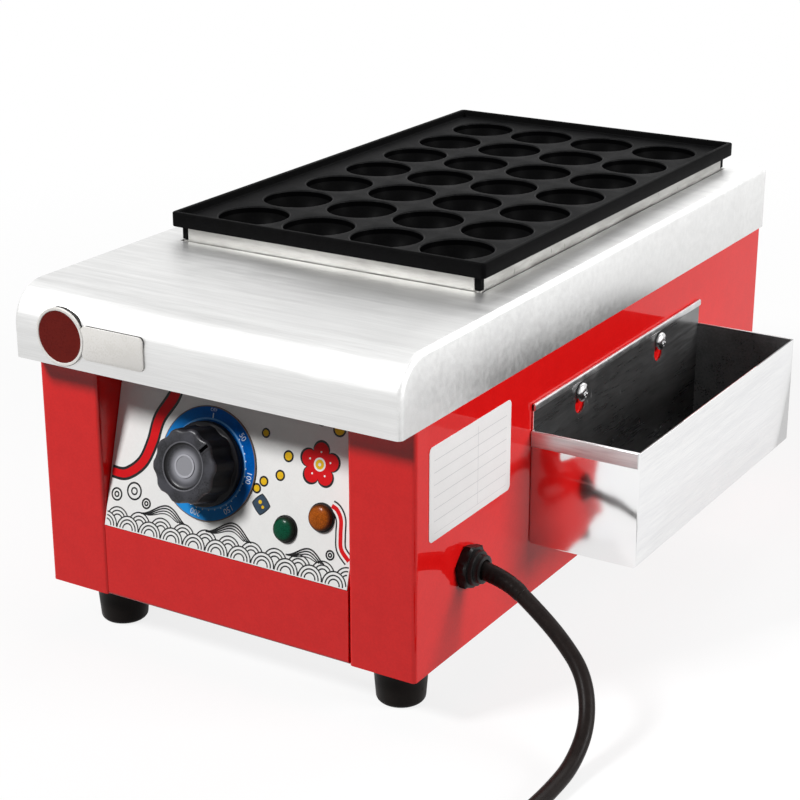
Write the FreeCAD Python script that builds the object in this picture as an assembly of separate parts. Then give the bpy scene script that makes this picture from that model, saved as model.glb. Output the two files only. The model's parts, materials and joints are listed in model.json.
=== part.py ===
import FreeCAD, Part
import math
import os
from FreeCAD import Placement, Rotation, Vector

# Countertop takoyaki maker: a red sheet-steel body under a stainless top cover, a cast griddle plate
# with rows of round cups over two tubular elements, a thermostat knob on a leaning control panel and
# a stainless side tray hung on two screws. Millimetres. While it is being built, X = 0 and Y = 0 are
# the middle of the body and Z = 0 is the surface it stands on; export() moves it to its own origin.

# ---- griddle plate: its cups set the size of the machine ----
cup_columns = 4
cup_rows = 7
cup_mouth = 41.0
cup_land = 4.0              # floor between two cups
cup_depth = 19.0
cup_wall = 2.6
cup_bands = (0.4, 0.75)     # where the flats inside a cup meet, as shares of its depth
cup_foot = 0.95             # share of the depth whose width the flat foot of a cup has
shell_mouth = 0.6           # share of the wall that the outside keeps under the plate
shell_foot = 0.8            # share of the depth whose width the outside of the foot has
plate_side = 12.4           # plate beside the outer columns
plate_end = 10.0            # plate beyond the outer rows
plate_height = 8.6
plate_stand = 8.6           # underside of the plate above the cover
rim_width = 3.2
rim_depth = 4.5             # rim above the floor of the plate
lug_leg = 12.0
lug_thickness = 4.0
lug_gap = 0.6
lug_clear = 1.0             # foot of a lug above the cover
lug_root = 0.5              # lug inside the plate

# ---- body ----
body_side = 17.6            # body beside the plate
body_front = 98.0           # body in front of the plate
body_rear = 14.0            # body behind the plate
body_sheet = 1.2            # painted steel
bend_radius = 1.0           # inside radius of the sheet bends
foot_height = 29.0
post_width = 40.0           # front corner posts, beside the control panel
post_return = 34.0          # flange that closes the side of the panel recess
side_flange = 38.6          # bottom flange of a side panel, which carries the feet
top_flange = 14.0
rear_flange = 18.0
seam_gap = 0.3
overcut = 1.0               # how far a cutter runs past the face that it opens

# ---- front panel ----
sill_height = 41.8          # flush red sill under the control panel
panel_lean = 15.0           # degrees that the control panel leans back
front_flange = 18.0
fascia_sheet = 0.8
fascia_edge = 1.0           # lower edge of the fascia above the sill
fascia_height = 112.0

# ---- stainless top cover ----
cover_lift = 138.0          # lower edge of the cover above the bottom of the body
cover_skirt = 40.0
cover_sheet = 1.2
cover_gap = 0.2             # cover skirt to body
cover_overhang = 16.4       # how far the cover stands out in front of the body
cover_nose = 22.0           # outside radius of the front top edge
cover_edge = 3.0            # outside radius of the other edges
opening_gap = 1.2           # heater box to the opening in the cover

# ---- heater box and elements ----
box_inset = 4.6             # box wall inside the edge of the plate
box_sheet = 1.0
box_height = 62.0
mat_thickness = 12.0
mat_margin = 3.4
shield_sheet = 1.0
shield_gap = 1.2
rail_sheet = 1.5
rail_upright = 22.0
rail_overlap = 12.0         # rail under the edge of the box
rail_length = 300.0
element_diameter = 8.0
hairpins = 2
element_height = 30.0       # tube centre above the box floor
element_end = 18.0          # tube end in front of the box
element_margin = 26.0       # bend of the hairpin to the rear wall
element_clear = 0.3
pin_diameter = 4.0
pin_length = 12.0
collar_flats = 13.0
collar_length = 5.0
bridge_sheet = 1.5
bridge_width = 14.0
bridge_margin = 1.8         # foot of a bridge to the wall of the box
bridge_foot = 10.0
bridge_setback = 67.9       # middle of a bridge from the end of the box

# ---- thermostat, dial and knob ----
dial_x = -15.6
dial_up = 48.2              # up the slope of the panel from the top of the sill
dial_diameter = 62.0
dial_sheet = 1.0
neck_diameter = 10.0
neck_clear = 0.2
neck_reach = 3.6            # threaded neck beyond the dial
nut_flats = 14.0
nut_height = 2.6
shaft_diameter = 6.0
shaft_clear = 0.05
shaft_cut = 1.5             # depth of the flat on the shaft
shaft_depth = 14.0          # shaft inside the thermostat
case_width = 40.0
case_height = 34.0
case_depth = 26.0
knob_gap = 0.6              # knob above the dial
knob_diameter = 42.0
knob_height = 21.5
knob_skirt_diameter = 46.0
knob_skirt = 4.0
knob_lobes = 10
scallop_radius = 9.0
scallop_depth = 1.5
knob_recess_diameter = 20.0
knob_recess = 1.6
knob_hollow_diameter = 34.0
knob_hollow = 8.0
knob_boss_diameter = 12.0
boss_clear = 1.0            # knob boss above the thermostat neck
knob_wall = 3.0             # over the end of the shaft
pointer_angle = 45.0        # degrees clockwise from the top, at rest
pointer_start = 11.5        # inner end of the pointer notch from the axis
pointer_width = 1.6
pointer_depth = 1.2
bulb_diameter = 6.0
bulb_length = 110.0
bulb_end = 8.0
bulb_clear = 0.1
capillary_diameter = 1.6
capillary_bend = 25.0

# ---- pilot lamps ----
green_x, green_up, green_diameter = 38.0, 24.2, 13.0
amber_x, amber_up, amber_diameter = 59.0, 34.8, 14.0
lamp_bezel = 1.0
lamp_rim = 0.8             # bezel beyond the lens
lens_height = 3.6
lens_edge = 1.2
lens_shoulder = (0.72, 0.8)   # shares of the radius and of the height
lens_crown = 0.3            # share of the radius that is flat on top
holder_diameter = 9.0
holder_length = 22.0
holder_clear = 0.15
clip_flats = 13.0
clip_height = 3.0

# ---- cable gland, mains cord and its terminal block ----
gland_setback = 51.7        # from the front of the body
gland_lift = 46.3           # above the bottom of the body
gland_flats = 22.0
gland_hex = 5.5
gland_ring_diameter = 19.0
gland_ring = 2.8
gland_mouth_diameter = 15.5
gland_mouth = 2.9
gland_thread = 16.0
gland_thread_length = 14.0
thread_clear = 0.2
locknut_height = 5.0
gland_turn = 15.0           # degrees that the hexagon is turned
cord_diameter = 8.5
mouth_flare = 0.8
flare_depth = 4.2
block_length, block_width, block_height = 44.0, 22.0, 20.0
block_x = 18.0
block_ways = 3
block_slot = 6.0
block_entry = 12.0          # cable above the base plate
cable_lead = 26.0
cable_bend = 24.0

# ---- side tray ----
tray_setback = 121.5        # from the front of the body
tray_length = 223.0
tray_lift = 32.0            # above the bottom of the body
tray_height = 66.5
tray_back = 15.5            # back plate above the other walls
tray_reach = 64.8           # outside of the tray from the side of the body
tray_sheet = 1.0
tray_gap = 0.3              # back plate to the side panel
hem_height = 9.0
hem_slit = 5.0              # open corner next to the outer wall
back_hem = 4.0              # stays above the screw heads
screw_along = (56.5, 162.7)  # from the front end of the tray
screw_lift = 5.1            # above the walls of the tray
screw_head_diameter = 11.0
screw_head_height = 3.4
pan_edge = 0.5              # share of the head that is its straight edge
pan_crown = 0.65            # share of the head that is flat on top
screw_diameter = 5.0
slot_clear = 0.25           # screw shank in the narrow part of the keyhole
keyhole_entry = 12.2
keyhole_drop = 6.6          # entry hole below the screw, so also how far the tray lifts
rivnut_diameter = 8.0
rivnut_shoulder = 1.1
rivnut_length = 8.0
rivnut_bulge = 6.0          # swollen part behind the sheet
rivnut_clear = 0.1

# ---- base, rear and feet ----
foot_in_x = 26.3            # feet inside the sides of the body
foot_in_y = 29.5            # feet inside its front and rear
foot_top_diameter = 32.0
foot_bottom_diameter = 27.0
foot_edge = 4.0
foot_recess_diameter = 11.0
foot_recess = 16.0
foot_screw_diameter = 5.0
foot_head_flats = 8.0
foot_head = 3.5
foot_nut = 4.0
foot_clear = 0.2
vent_length = 60.0
vent_width = 5.0
vent_pitch = 13.0
rear_vents = 6
rear_vent_x = 45.0
base_vents = 6
base_vent_x = 42.0
earth_in_x = 60.0
earth_in_y = 83.5
earth_diameter = 5.0
earth_length = 18.0

# ---- free cord: route, coil and plug ----
cord_route = (
    (127.0, -171.8, 75.3), (143.0, -172.1, 73.6), (160.0, -174.3, 63.8), (178.0, -176.1, 50.6),
    (195.1, -182.1, 36.5), (204.9, -196.2, 19.1), (207.2, -217.0, 6.5), (207.5, -242.0, 4.25),
    (206.6, -269.0, 4.25), (203.6, -298.0, 4.25), (205.25, -326.0, 4.25),
)
coil_x, coil_y = 257.0, -326.0
coil_diameter = 95.0        # at the middle of the turns
coil_rows = 2               # turns side by side
coil_layers = 2
tail_angle = 260.0          # where the cord leaves the coil, degrees from +X
tail_length = 38.0
relief_length = 24.0
relief_diameter = 12.0
plug_length, plug_width = 36.0, 34.0
plug_edge = 5.0
relief_wall = 0.6
blade_length, blade_width, blade_thickness = 17.0, 6.3, 1.6
blade_turn = 30.0
blade_spread = 7.9
blade_drop = 4.0            # slanted pins below the middle of the plug
earth_blade_rise = 7.0

# ---- flat sides of the round pieces that are many or hidden ----
cup_sides = 16
few_sides = 12
many_sides = 24
thin_sides = 8

# ---- places worked out from the sizes ----
cup_pitch = cup_mouth + cup_land
plate_width = cup_columns * cup_pitch + 2 * plate_side
plate_length = cup_rows * cup_pitch + 2 * plate_end
body_width = plate_width + 2 * body_side
body_depth = plate_length + body_front + body_rear
side_x = body_width / 2
front_y = -body_depth / 2
rear_y = body_depth / 2
plate_centre_y = rear_y - body_rear - plate_length / 2
body_low = foot_height
cover_low = body_low + cover_lift
cover_top = cover_low + cover_skirt
under_cover = cover_top - cover_sheet
cover_x = side_x + cover_gap + cover_sheet
cover_front = front_y - cover_overhang
cover_rear = rear_y + cover_gap + cover_sheet
post_x = side_x - post_width
plate_low = cover_top + plate_stand
plate_floor = plate_low + plate_height - rim_depth
cup_low = plate_floor - cup_depth
box_low = plate_low - box_height
box_floor = box_low + box_sheet
box_x = plate_width / 2 - box_inset
box_front = plate_centre_y - plate_length / 2 + box_inset
box_rear = plate_centre_y + plate_length / 2 - box_inset
element_z = box_floor + element_height
bridge_top = element_z - element_diameter / 2
bridge_half = box_x - box_sheet - bridge_margin - bridge_foot
base_top = body_low + 2 * body_sheet
dial_face = fascia_sheet + dial_sheet
neck_top = dial_face + neck_reach
knob_low = dial_face + knob_gap
knob_top = knob_low + knob_height
cord_radius = cord_diameter / 2
foot_x = side_x - foot_in_x
foot_y = rear_y - foot_in_y
earth_x, earth_y = earth_in_x - side_x, front_y + earth_in_y
gland_y = front_y + gland_setback
gland_height = body_low + gland_lift
gland_end = side_x + gland_hex + gland_ring + gland_mouth
tray_x = side_x + tray_reach
tray_front = front_y + tray_setback
tray_rear = tray_front + tray_length
tray_low = body_low + tray_lift
tray_high = tray_low + tray_height
tray_back_high = tray_high + tray_back
screw_y = [tray_front + along for along in screw_along]
screw_height = tray_high + screw_lift
shift = Vector(-(tray_x - cover_x) / 2, -(cover_front + cover_rear) / 2, 0)
PANEL = Placement(Vector(0, front_y, body_low + sill_height), Rotation(Vector(1, 0, 0), 90 - panel_lean))


def block(x0, x1, y0, y1, z0, z1):
    return Part.makeBox(x1 - x0, y1 - y0, z1 - z0, Vector(x0, y0, z0))


def rod(radius, start, end):
    return Part.makeCylinder(radius, start.distanceToPoint(end), start, end.sub(start))


def fused(shapes):
    return shapes[0].multiFuse(shapes[1:]).removeSplitter() if len(shapes) > 1 else shapes[0]


def outline(points, radii, plane):
    """Closed face through 2-D points; a corner with a radius is rounded by an arc."""
    edges = []
    last = first = None
    count = len(points)
    for i, (point, radius) in enumerate(zip(points, radii)):
        corner = Vector(*point, 0)
        back = Vector(*points[i - 1], 0).sub(corner).normalize()
        ahead = Vector(*points[(i + 1) % count], 0).sub(corner).normalize()
        if radius > 0:
            half = back.getAngle(ahead) / 2
            start = corner + back * (radius / math.tan(half))
            end = corner + ahead * (radius / math.tan(half))
            middle_way = (back + ahead).normalize()
            middle = corner + middle_way * (radius / math.sin(half) - radius)
            place = [plane(v.x, v.y) for v in (start, middle, end)]
            arc = Part.Arc(*place).toShape()
        else:
            start = end = corner
            arc = None
        if last is not None:
            edges.append(Part.makeLine(plane(last.x, last.y), plane(start.x, start.y)))
        else:
            first = start
        if arc:
            edges.append(arc)
        last = end
    edges.append(Part.makeLine(plane(last.x, last.y), plane(first.x, first.y)))
    return Part.Face(Part.Wire(edges))


def bent_sheet(path, thickness, plane, depth, side=1, bend=None):
    """Folded sheet: the path is its outer face, the metal lies on the left (side=1) or right (-1)."""
    bend = bend_radius if bend is None else bend
    steps = [Vector(b[0] - a[0], b[1] - a[1], 0).normalize() for a, b in zip(path, path[1:])]
    normals = [Vector(-d.y, d.x, 0) * (side * thickness) for d in steps]
    inner, outer_radii, inner_radii = [], [], []
    for i, point in enumerate(path):
        here = Vector(*point, 0)
        if i == 0 or i == len(path) - 1:
            inner.append(here + normals[0 if i == 0 else -1])
            outer_radii.append(0)
            inner_radii.append(0)
            continue
        before, after = steps[i - 1], steps[i]
        turn = (before.x * after.y - before.y * after.x) * side
        mitre = (normals[i - 1] + normals[i]) * (1 / (1 + before.dot(after)))
        inner.append(here + mitre)
        outer_radii.append(bend + thickness if turn > 0 else bend)
        inner_radii.append(bend if turn > 0 else bend + thickness)
    points = [tuple(p) for p in path] + [(v.x, v.y) for v in reversed(inner)]
    return outline(points, outer_radii + inner_radii[::-1], plane).extrude(depth)


def prism(sides, flats, start, end, turn=0.0):
    """Regular prism with that width across its flats, along the line from start to end."""
    reach = flats / 2 / math.cos(math.pi / sides)
    angles = [math.radians(turn) + 2 * math.pi * i / sides for i in range(sides + 1)]
    corners = [Vector(reach * math.cos(a), reach * math.sin(a), 0) for a in angles]
    solid = Part.Face(Part.makePolygon(corners)).extrude(Vector(0, 0, start.distanceToPoint(end)))
    return placed(solid, start, end)


def drill(radius, start, end):
    """Cutter for a hidden hole; its flat sides lie on the radius."""
    return prism(few_sides, 2 * radius, start, end)


def placed(shape, start, end):
    """Moves a shape built up from the origin along Z to start, and turns it towards end."""
    shape.Placement = Placement(start, Rotation(Vector(0, 0, 1), end.sub(start)))
    return shape


def skinned(rings, closed=False):
    """Solid with flat faces between matching rings of points; caps close it unless it is a loop."""
    def flat(points):
        return Part.Face(Part.makePolygon(points + points[:1]))
    faces = [] if closed else [flat(rings[0]), flat(rings[-1])]
    pairs = list(zip(rings, rings[1:])) + ([(rings[-1], rings[0])] if closed else [])
    for low, high in pairs:
        for i in range(len(low)):
            faces.append(flat([low[i - 1], low[i], high[i], high[i - 1]]))
    solid = Part.makeSolid(Part.makeShell(faces))
    if solid.Volume < 0:
        solid.reverse()
    return solid


def turned(profile, sides, closed=False, around=False):
    """Solid turned about Z in flat sides from (radius, height) pairs; around= puts the flats on the radii."""
    reach = 1 / math.cos(math.pi / sides) if around else 1.0
    angles = [2 * math.pi * (i + 0.5) / sides for i in range(sides)]
    def ring(radius, z):
        return [Vector(radius * reach * math.cos(a), radius * reach * math.sin(a), z) for a in angles]
    return skinned([ring(radius, z) for radius, z in profile], closed)


def rounded_path(points, radius, steps):
    """Points of a path whose corners are arcs, each in that many straight steps."""
    path = [points[0]]
    for before, corner, after in zip(points, points[1:], points[2:]):
        back, ahead = before.sub(corner).normalize(), after.sub(corner).normalize()
        half = back.getAngle(ahead) / 2
        middle_way = (back + ahead).normalize()
        centre = corner + middle_way * (radius / math.sin(half))
        start = corner + back * (radius / math.tan(half)) - centre
        axis = ahead.cross(back).normalize()
        for i in range(steps + 1):
            turn = Rotation(axis, math.degrees(math.pi - 2 * half) * i / steps)
            point = centre + turn.multVec(start)
            if point.distanceToPoint(path[-1]) > 0.01:
                path.append(point)
    return path + [points[-1]]


def mitred_tube(points, radius, sides):
    """Tube with flat sides along a bent line, mitred at each point."""
    way = points[1].sub(points[0]).normalize()
    across = way.cross(Vector(0, 0, 1) if abs(way.z) < 0.9 else Vector(1, 0, 0)).normalize()
    angles = [360 * (i + 0.5) / sides for i in range(sides)]
    rings = [[points[0] + Rotation(way, a).multVec(across) * radius for a in angles]]
    for i in range(1, len(points)):
        way = points[i].sub(points[i - 1]).normalize()
        plane = way
        if i < len(points) - 1:
            plane = (way + points[i + 1].sub(points[i]).normalize()).normalize()
        rings.append([v + way * (points[i].sub(v).dot(plane) / way.dot(plane)) for v in rings[-1]])
    return skinned(rings)


def on_panel(shape):
    """Moves a shape from the panel's own axes (x across, y up the slope, z out) to the machine's."""
    moved = shape.copy()
    moved.Placement = PANEL.multiply(moved.Placement)
    return moved


def mirrored(shape):
    return shape.mirror(Vector(0, 0, 0), Vector(1, 0, 0))


def tube_along(points, radius, sides):
    """Tube with flat sides on straight runs joined by tangent arcs, with its radii and its length."""
    route = [Vector(*p) for p in points]
    edges, radii, last = [], [], route[0]
    for before, corner, after in zip(route, route[1:], route[2:]):
        back, ahead = before.sub(corner), after.sub(corner)
        turn = math.pi - back.getAngle(ahead)
        bend = 0.45 * min(back.Length, ahead.Length) / math.tan(turn / 2)
        reach = bend * math.tan(turn / 2)
        back.normalize()
        ahead.normalize()
        start, end = corner + back * reach, corner + ahead * reach
        inward = (back + ahead).normalize()
        middle = corner + inward * (bend / math.cos(turn / 2) - bend)
        edges.append(Part.LineSegment(last, start).toShape())
        edges.append(Part.Arc(start, middle, end).toShape())
        radii.append(bend)
        last = end
    edges.append(Part.LineSegment(last, route[-1]).toShape())
    wire = Part.Wire(edges)
    angles = [2 * math.pi * i / sides for i in range(sides + 1)]
    section = Part.makePolygon([Vector(radius * math.cos(a), radius * math.sin(a), 0) for a in angles])
    placed(section, route[0], route[1])
    return wire.makePipeShell([section], True, False), radii, wire.Length


def side_panel():
    """Right-hand side panel: front post, recess flange, side wall, rear, top and bottom flanges."""
    wall_rear = rear_y - body_sheet
    low_top = under_cover - 2 * bend_radius - body_sheet
    path = [(post_x, front_y + post_return), (post_x, front_y), (side_x, front_y),
            (side_x, wall_rear), (side_x - rear_flange, wall_rear)]
    wall = bent_sheet(path, body_sheet, lambda x, y: Vector(x, y, body_low), Vector(0, 0, low_top - body_low))
    foot_flange = block(side_x - side_flange, side_x - body_sheet / 2, front_y + body_sheet / 2,
                        wall_rear - body_sheet / 2, body_low, body_low + body_sheet)
    flange_front = front_y + cover_nose
    top_path = [(side_x, low_top - bend_radius), (side_x, under_cover), (side_x - top_flange, under_cover)]
    rest = bent_sheet(top_path, body_sheet, lambda x, z: Vector(x, flange_front, z),
                      Vector(0, wall_rear - body_sheet - bend_radius - flange_front, 0))
    corner = body_sheet + bend_radius
    recess_foot = block(post_x - overcut, post_x + corner, front_y + corner, front_y + post_return + overcut,
                        body_low - overcut, base_top + body_sheet)
    return fused([wall, foot_flange, rest]).cut(recess_foot)


def panel_holes(panel):
    """Holes that only the right side panel has: the cord gland and the two tray screws."""
    def through_wall(radius, y, z):
        return drill(radius, Vector(side_x - body_sheet - overcut, y, z), Vector(side_x + overcut, y, z))
    neck = rivnut_diameter / 2 - rivnut_shoulder + rivnut_clear
    cutters = [through_wall(gland_thread / 2 + thread_clear, gland_y, gland_height)]
    cutters += [through_wall(neck, y, screw_height) for y in screw_y]
    return panel.cut(fused(cutters))


def foot_places():
    return [Vector(x, y, 0) for x in (-foot_x, foot_x) for y in (-foot_y, foot_y)]


def foot_holes(shape):
    for place in foot_places():
        low, high = place + Vector(0, 0, body_low - overcut), place + Vector(0, 0, base_top + overcut)
        shape = shape.cut(drill(foot_screw_diameter / 2 + foot_clear, low, high))
    return shape


def front_panel():
    """Sill, leaning control panel and top flange, folded from one sheet."""
    slope_top = under_cover - body_low - sill_height
    lean_back = slope_top * math.tan(math.radians(panel_lean))
    width = 2 * (post_x - seam_gap)
    path = [(front_y + front_flange, body_low), (front_y, body_low), (front_y, body_low + sill_height),
            (front_y + lean_back, under_cover), (front_y + lean_back + top_flange, under_cover)]
    shape = bent_sheet(path, body_sheet, lambda y, z: Vector(-width / 2, y, z), Vector(width, 0, 0), side=-1)
    return shape.cut(on_panel(fused(control_holes())))


def control_holes():
    """Cutters in the panel's own axes for the thermostat neck and the two lamp holders."""
    places = [(dial_x, dial_up, neck_diameter / 2 + neck_clear)]
    for x, up in ((green_x, green_up), (amber_x, amber_up)):
        places.append((x, up, holder_diameter / 2 + holder_clear))
    low, high = -body_sheet - overcut, fascia_sheet + overcut
    return [drill(radius, Vector(x, up, low), Vector(x, up, high)) for x, up, radius in places]


def control_fascia():
    half = post_x - 2 * seam_gap
    plate = block(-half, half, fascia_edge, fascia_height, 0, fascia_sheet)
    return on_panel(plate.cut(fused(control_holes())))


def cover_body(inset, low):
    """The cover's outer (inset 0) or inner form: a block with a big front nose and small edges."""
    half, top = cover_x - inset, cover_top - inset
    y0, y1 = cover_front + inset, cover_rear - inset
    edge, nose = cover_edge - inset, cover_nose - inset
    face = outline([(y0, low), (y1, low), (y1, top), (y0, top)], [0, 0, edge, nose],
                   lambda y, z: Vector(-half, y, z))
    solid = face.extrude(Vector(2 * half, 0, 0))
    def at_end(middle):
        return abs(abs(middle.x) - half) < 1e-6 and middle.z > low + 1e-6
    return solid.makeFillet(edge, [e for e in solid.Edges if at_end(e.CenterOfMass)])


def top_cover():
    shell = cover_body(0, cover_low).cut(cover_body(cover_sheet, cover_low - overcut))
    hem = block(-(cover_x - cover_sheet / 2), cover_x - cover_sheet / 2, cover_front + cover_sheet / 2,
                front_y - cover_gap, cover_low, cover_low + cover_sheet)
    opening = block(-box_x - opening_gap, box_x + opening_gap, box_front - opening_gap,
                    box_rear + opening_gap, under_cover - overcut, cover_top + overcut)
    return shell.fuse(hem).cut(opening)


def rear_panel():
    """Flat panel with two rows of slots; it stops where the round corners of the cover begin."""
    half = cover_x - cover_edge
    panel = block(-half, half, rear_y - body_sheet, rear_y, body_low, under_cover - cover_edge)
    slots, half_length = [], vent_length / 2
    for x, z in vent_places(rear_vent_x, (body_low + cover_low) / 2, rear_vents, vent_pitch):
        slots.append(block(x - half_length, x + half_length, rear_y - body_sheet - overcut, rear_y + overcut,
                           z - vent_width / 2, z + vent_width / 2))
    return panel.cut(Part.makeCompound(slots))


def vent_places(half_spread, middle, count, pitch):
    """Middles of two columns of slots, left and right of the middle of the machine."""
    low = middle - (count - 1) / 2 * pitch
    return [(side * half_spread, low + i * pitch) for side in (-1, 1) for i in range(count)]


def base_plate():
    """Flat plate on the flanges of the panels, clear of their bends, with slots, feet and earth screw."""
    clear = bend_radius + seam_gap
    half = side_x - body_sheet - clear
    plate = block(-half, half, front_y + body_sheet + clear, rear_y - 2 * body_sheet - clear,
                  body_low + body_sheet, base_top)
    cutters = [drill(earth_diameter / 2 + foot_clear, Vector(earth_x, earth_y, body_low),
                     Vector(earth_x, earth_y, base_top + overcut))]
    for x, y in vent_places(base_vent_x, plate_centre_y, base_vents, 2 * vent_pitch):
        cutters.append(block(x - vent_length / 2, x + vent_length / 2, y - vent_width / 2, y + vent_width / 2,
                             body_low, base_top + overcut))
    return foot_holes(plate.cut(Part.makeCompound(cutters)))


def rubber_foot(place):
    """Tapered rubber foot with an eased lower edge and a deep recess for its screw."""
    top, low = foot_top_diameter / 2, foot_bottom_diameter / 2
    foot = turned([(low - foot_edge, 0), (low, foot_edge), (top, foot_height)], few_sides)
    bore = foot_screw_diameter / 2 + foot_clear
    recess = foot_recess_diameter / 2
    hole = [(recess, -overcut), (recess, foot_recess), (bore, foot_recess), (bore, foot_height + overcut)]
    foot = foot.cut(turned(hole, few_sides, around=True))
    foot.translate(place)
    return foot


def foot_screw(place):
    """Hexagon screw that holds a foot, with its nut above the base plate."""
    return bolt(place, foot_screw_diameter, foot_recess, base_top + foot_nut + overcut)


def bolt(place, diameter, seat, end):
    """Upright hexagon screw: head under its seat, shank up to its end, nut on the base plate."""
    def hexagon(low, high):
        return prism(6, foot_head_flats, place + Vector(0, 0, low), place + Vector(0, 0, high))
    shank = turned([(diameter / 2, seat), (diameter / 2, end)], few_sides)
    shank.translate(place)
    return fused([hexagon(seat - foot_head, seat), shank, hexagon(base_top, base_top + foot_nut)])


def support_rails():
    """Angles inside the side panels that carry the heater box."""
    wall = side_x - body_sheet
    y0 = (box_front + box_rear - rail_length) / 2
    low = box_low - rail_sheet
    path = [(wall, box_low + rail_upright), (wall, low), (box_x - rail_overlap, low)]
    right = bent_sheet(path, rail_sheet, lambda x, z: Vector(x, y0, z), Vector(0, rail_length, 0), side=-1)
    return [right, mirrored(right)]


def box_corners(leg, z0, z1, inset=0.0):
    """Square blocks in the four corners of the box, each leg long and that far inside its walls."""
    blocks = []
    for sx, x in ((-1, -box_x), (1, box_x)):
        for sy, y in ((-1, box_front), (1, box_rear)):
            xs = sorted((x - sx * inset, x - sx * (inset + leg)))
            ys = sorted((y - sy * inset, y - sy * (inset + leg)))
            blocks.append(block(*xs, *ys, z0, z1))
    return blocks


def heater_box():
    """Open stainless box that carries the plate on its walls; its top corners are notched for the lugs."""
    outer = block(-box_x, box_x, box_front, box_rear, box_low, plate_low)
    inner = block(-box_x + box_sheet, box_x - box_sheet, box_front + box_sheet, box_rear - box_sheet,
                  box_floor, plate_low + overcut)
    def front_hole(radius, x, z):
        return drill(radius, Vector(x, box_front - overcut, z), Vector(x, box_front + box_sheet + overcut, z))
    notches = box_corners(lug_leg + lug_gap, cover_top + lug_clear - lug_gap, plate_low + overcut)
    holes = [front_hole(element_diameter / 2 + element_clear, x, element_z) for x in element_legs()]
    holes.append(front_hole(bulb_diameter / 2 + bulb_clear, 0, bridge_top + bulb_diameter / 2))
    return outer.cut(inner).cut(Part.makeCompound(notches + holes))


def element_legs():
    """Middles of the tube legs, as far apart as the columns of cups."""
    count = 2 * hairpins
    return [(i - (count - 1) / 2) * cup_pitch for i in range(count)]


def heating_elements():
    """Two hairpin elements with a terminal pin on each end."""
    y0, y1 = box_front - element_end, box_rear - element_margin
    elements = []
    for left in element_legs()[::2]:
        right = left + cup_pitch
        corners = [Vector(left, y0, element_z), Vector(left, y1, element_z),
                   Vector(right, y1, element_z), Vector(right, y0, element_z)]
        path = rounded_path(corners, cup_pitch / 2, few_sides // 4)
        tube = mitred_tube(path, element_diameter / 2, few_sides)
        pins = [prism(few_sides, pin_diameter, end - Vector(0, pin_length, 0), end + Vector(0, overcut, 0))
                for end in (corners[0], corners[3])]
        elements.append(fused([tube] + pins))
    return elements


def element_collars():
    """Fixing nuts on the element ends, against the front of the heater box."""
    collars = []
    for x in element_legs():
        start, end = Vector(x, box_front - collar_length, element_z), Vector(x, box_front, element_z)
        collars.append(prism(6, collar_flats, start, end).cut(prism(few_sides, element_diameter, start, end)))
    return collars


def element_bridges():
    """Bridges that stand on the box floor under the element tubes."""
    foot = box_floor + bridge_sheet
    path = [(-bridge_half - bridge_foot, foot), (-bridge_half, foot), (-bridge_half, bridge_top),
            (bridge_half, bridge_top), (bridge_half, foot), (bridge_half + bridge_foot, foot)]
    bridges = []
    for middle in (box_front + bridge_setback, box_rear - bridge_setback):
        y = middle - bridge_width / 2
        width = Vector(0, bridge_width, 0)
        bridges.append(bent_sheet(path, bridge_sheet, lambda x, z: Vector(x, y, z), width, side=-1))
    return bridges


def insulation_mat():
    half = box_x - rail_overlap - mat_margin
    return block(-half, half, box_front + mat_margin, box_rear - mat_margin, box_low - mat_thickness, box_low)


def heat_shield():
    """Pan under the insulation, hung from the rails by its side flanges."""
    inner = box_x - rail_overlap - shield_gap
    low = box_low - mat_thickness - shield_sheet
    flange = box_low - rail_sheet - shield_sheet
    path = [(-box_x, flange), (-inner, flange), (-inner, low), (inner, low), (inner, flange), (box_x, flange)]
    y0, y1 = box_front + mat_margin, box_rear - mat_margin
    return bent_sheet(path, shield_sheet, lambda x, z: Vector(x, y0, z), Vector(0, y1 - y0, 0))


def cup_forms():
    """Inside and outside of one cup, about Z at the origin: bands of a ball under the plate's floor."""
    mouth = cup_mouth / 2
    ball = (mouth ** 2 + cup_depth ** 2) / (2 * cup_depth)
    def across(drop):
        return math.sqrt(ball ** 2 - (ball - cup_depth + drop) ** 2)
    inside = [(mouth, plate_floor + overcut), (mouth, plate_floor)]
    inside += [(across(share * cup_depth), plate_floor - share * cup_depth) for share in cup_bands]
    inside.append((across(cup_foot * cup_depth), cup_low))
    outside = [(mouth + cup_wall, plate_low + overcut), (mouth + shell_mouth * cup_wall, plate_low),
               (across(shell_foot * cup_depth) + cup_wall, cup_low - cup_wall)]
    return turned(inside, cup_sides, around=True), turned(outside, cup_sides, around=True)


def cup_places():
    x0 = -(cup_columns - 1) / 2 * cup_pitch
    y0 = plate_centre_y - (cup_rows - 1) / 2 * cup_pitch
    places = [(column, row) for row in range(cup_rows) for column in range(cup_columns)]
    return [Vector(x0 + column * cup_pitch, y0 + row * cup_pitch, 0) for column, row in places]


def griddle_plate():
    """Cast plate: slab with a raised rim, rows of round cups and four corner lugs underneath."""
    y0, y1 = plate_centre_y - plate_length / 2, plate_centre_y + plate_length / 2
    half = plate_width / 2
    slab = block(-half, half, y0, y1, plate_low, plate_low + plate_height)
    slab = slab.cut(block(-half + rim_width, half - rim_width, y0 + rim_width, y1 - rim_width,
                          plate_floor, plate_low + plate_height + overcut))
    inside, outside = cup_forms()
    bumps, cups = [], []
    for place in cup_places():
        for shape, group in ((outside, bumps), (inside, cups)):
            copy = shape.copy()
            copy.translate(place)
            group.append(copy)
    plate = slab.multiFuse(bumps + plate_lugs()).removeSplitter()
    return plate.cut(Part.makeCompound(cups))


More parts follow.
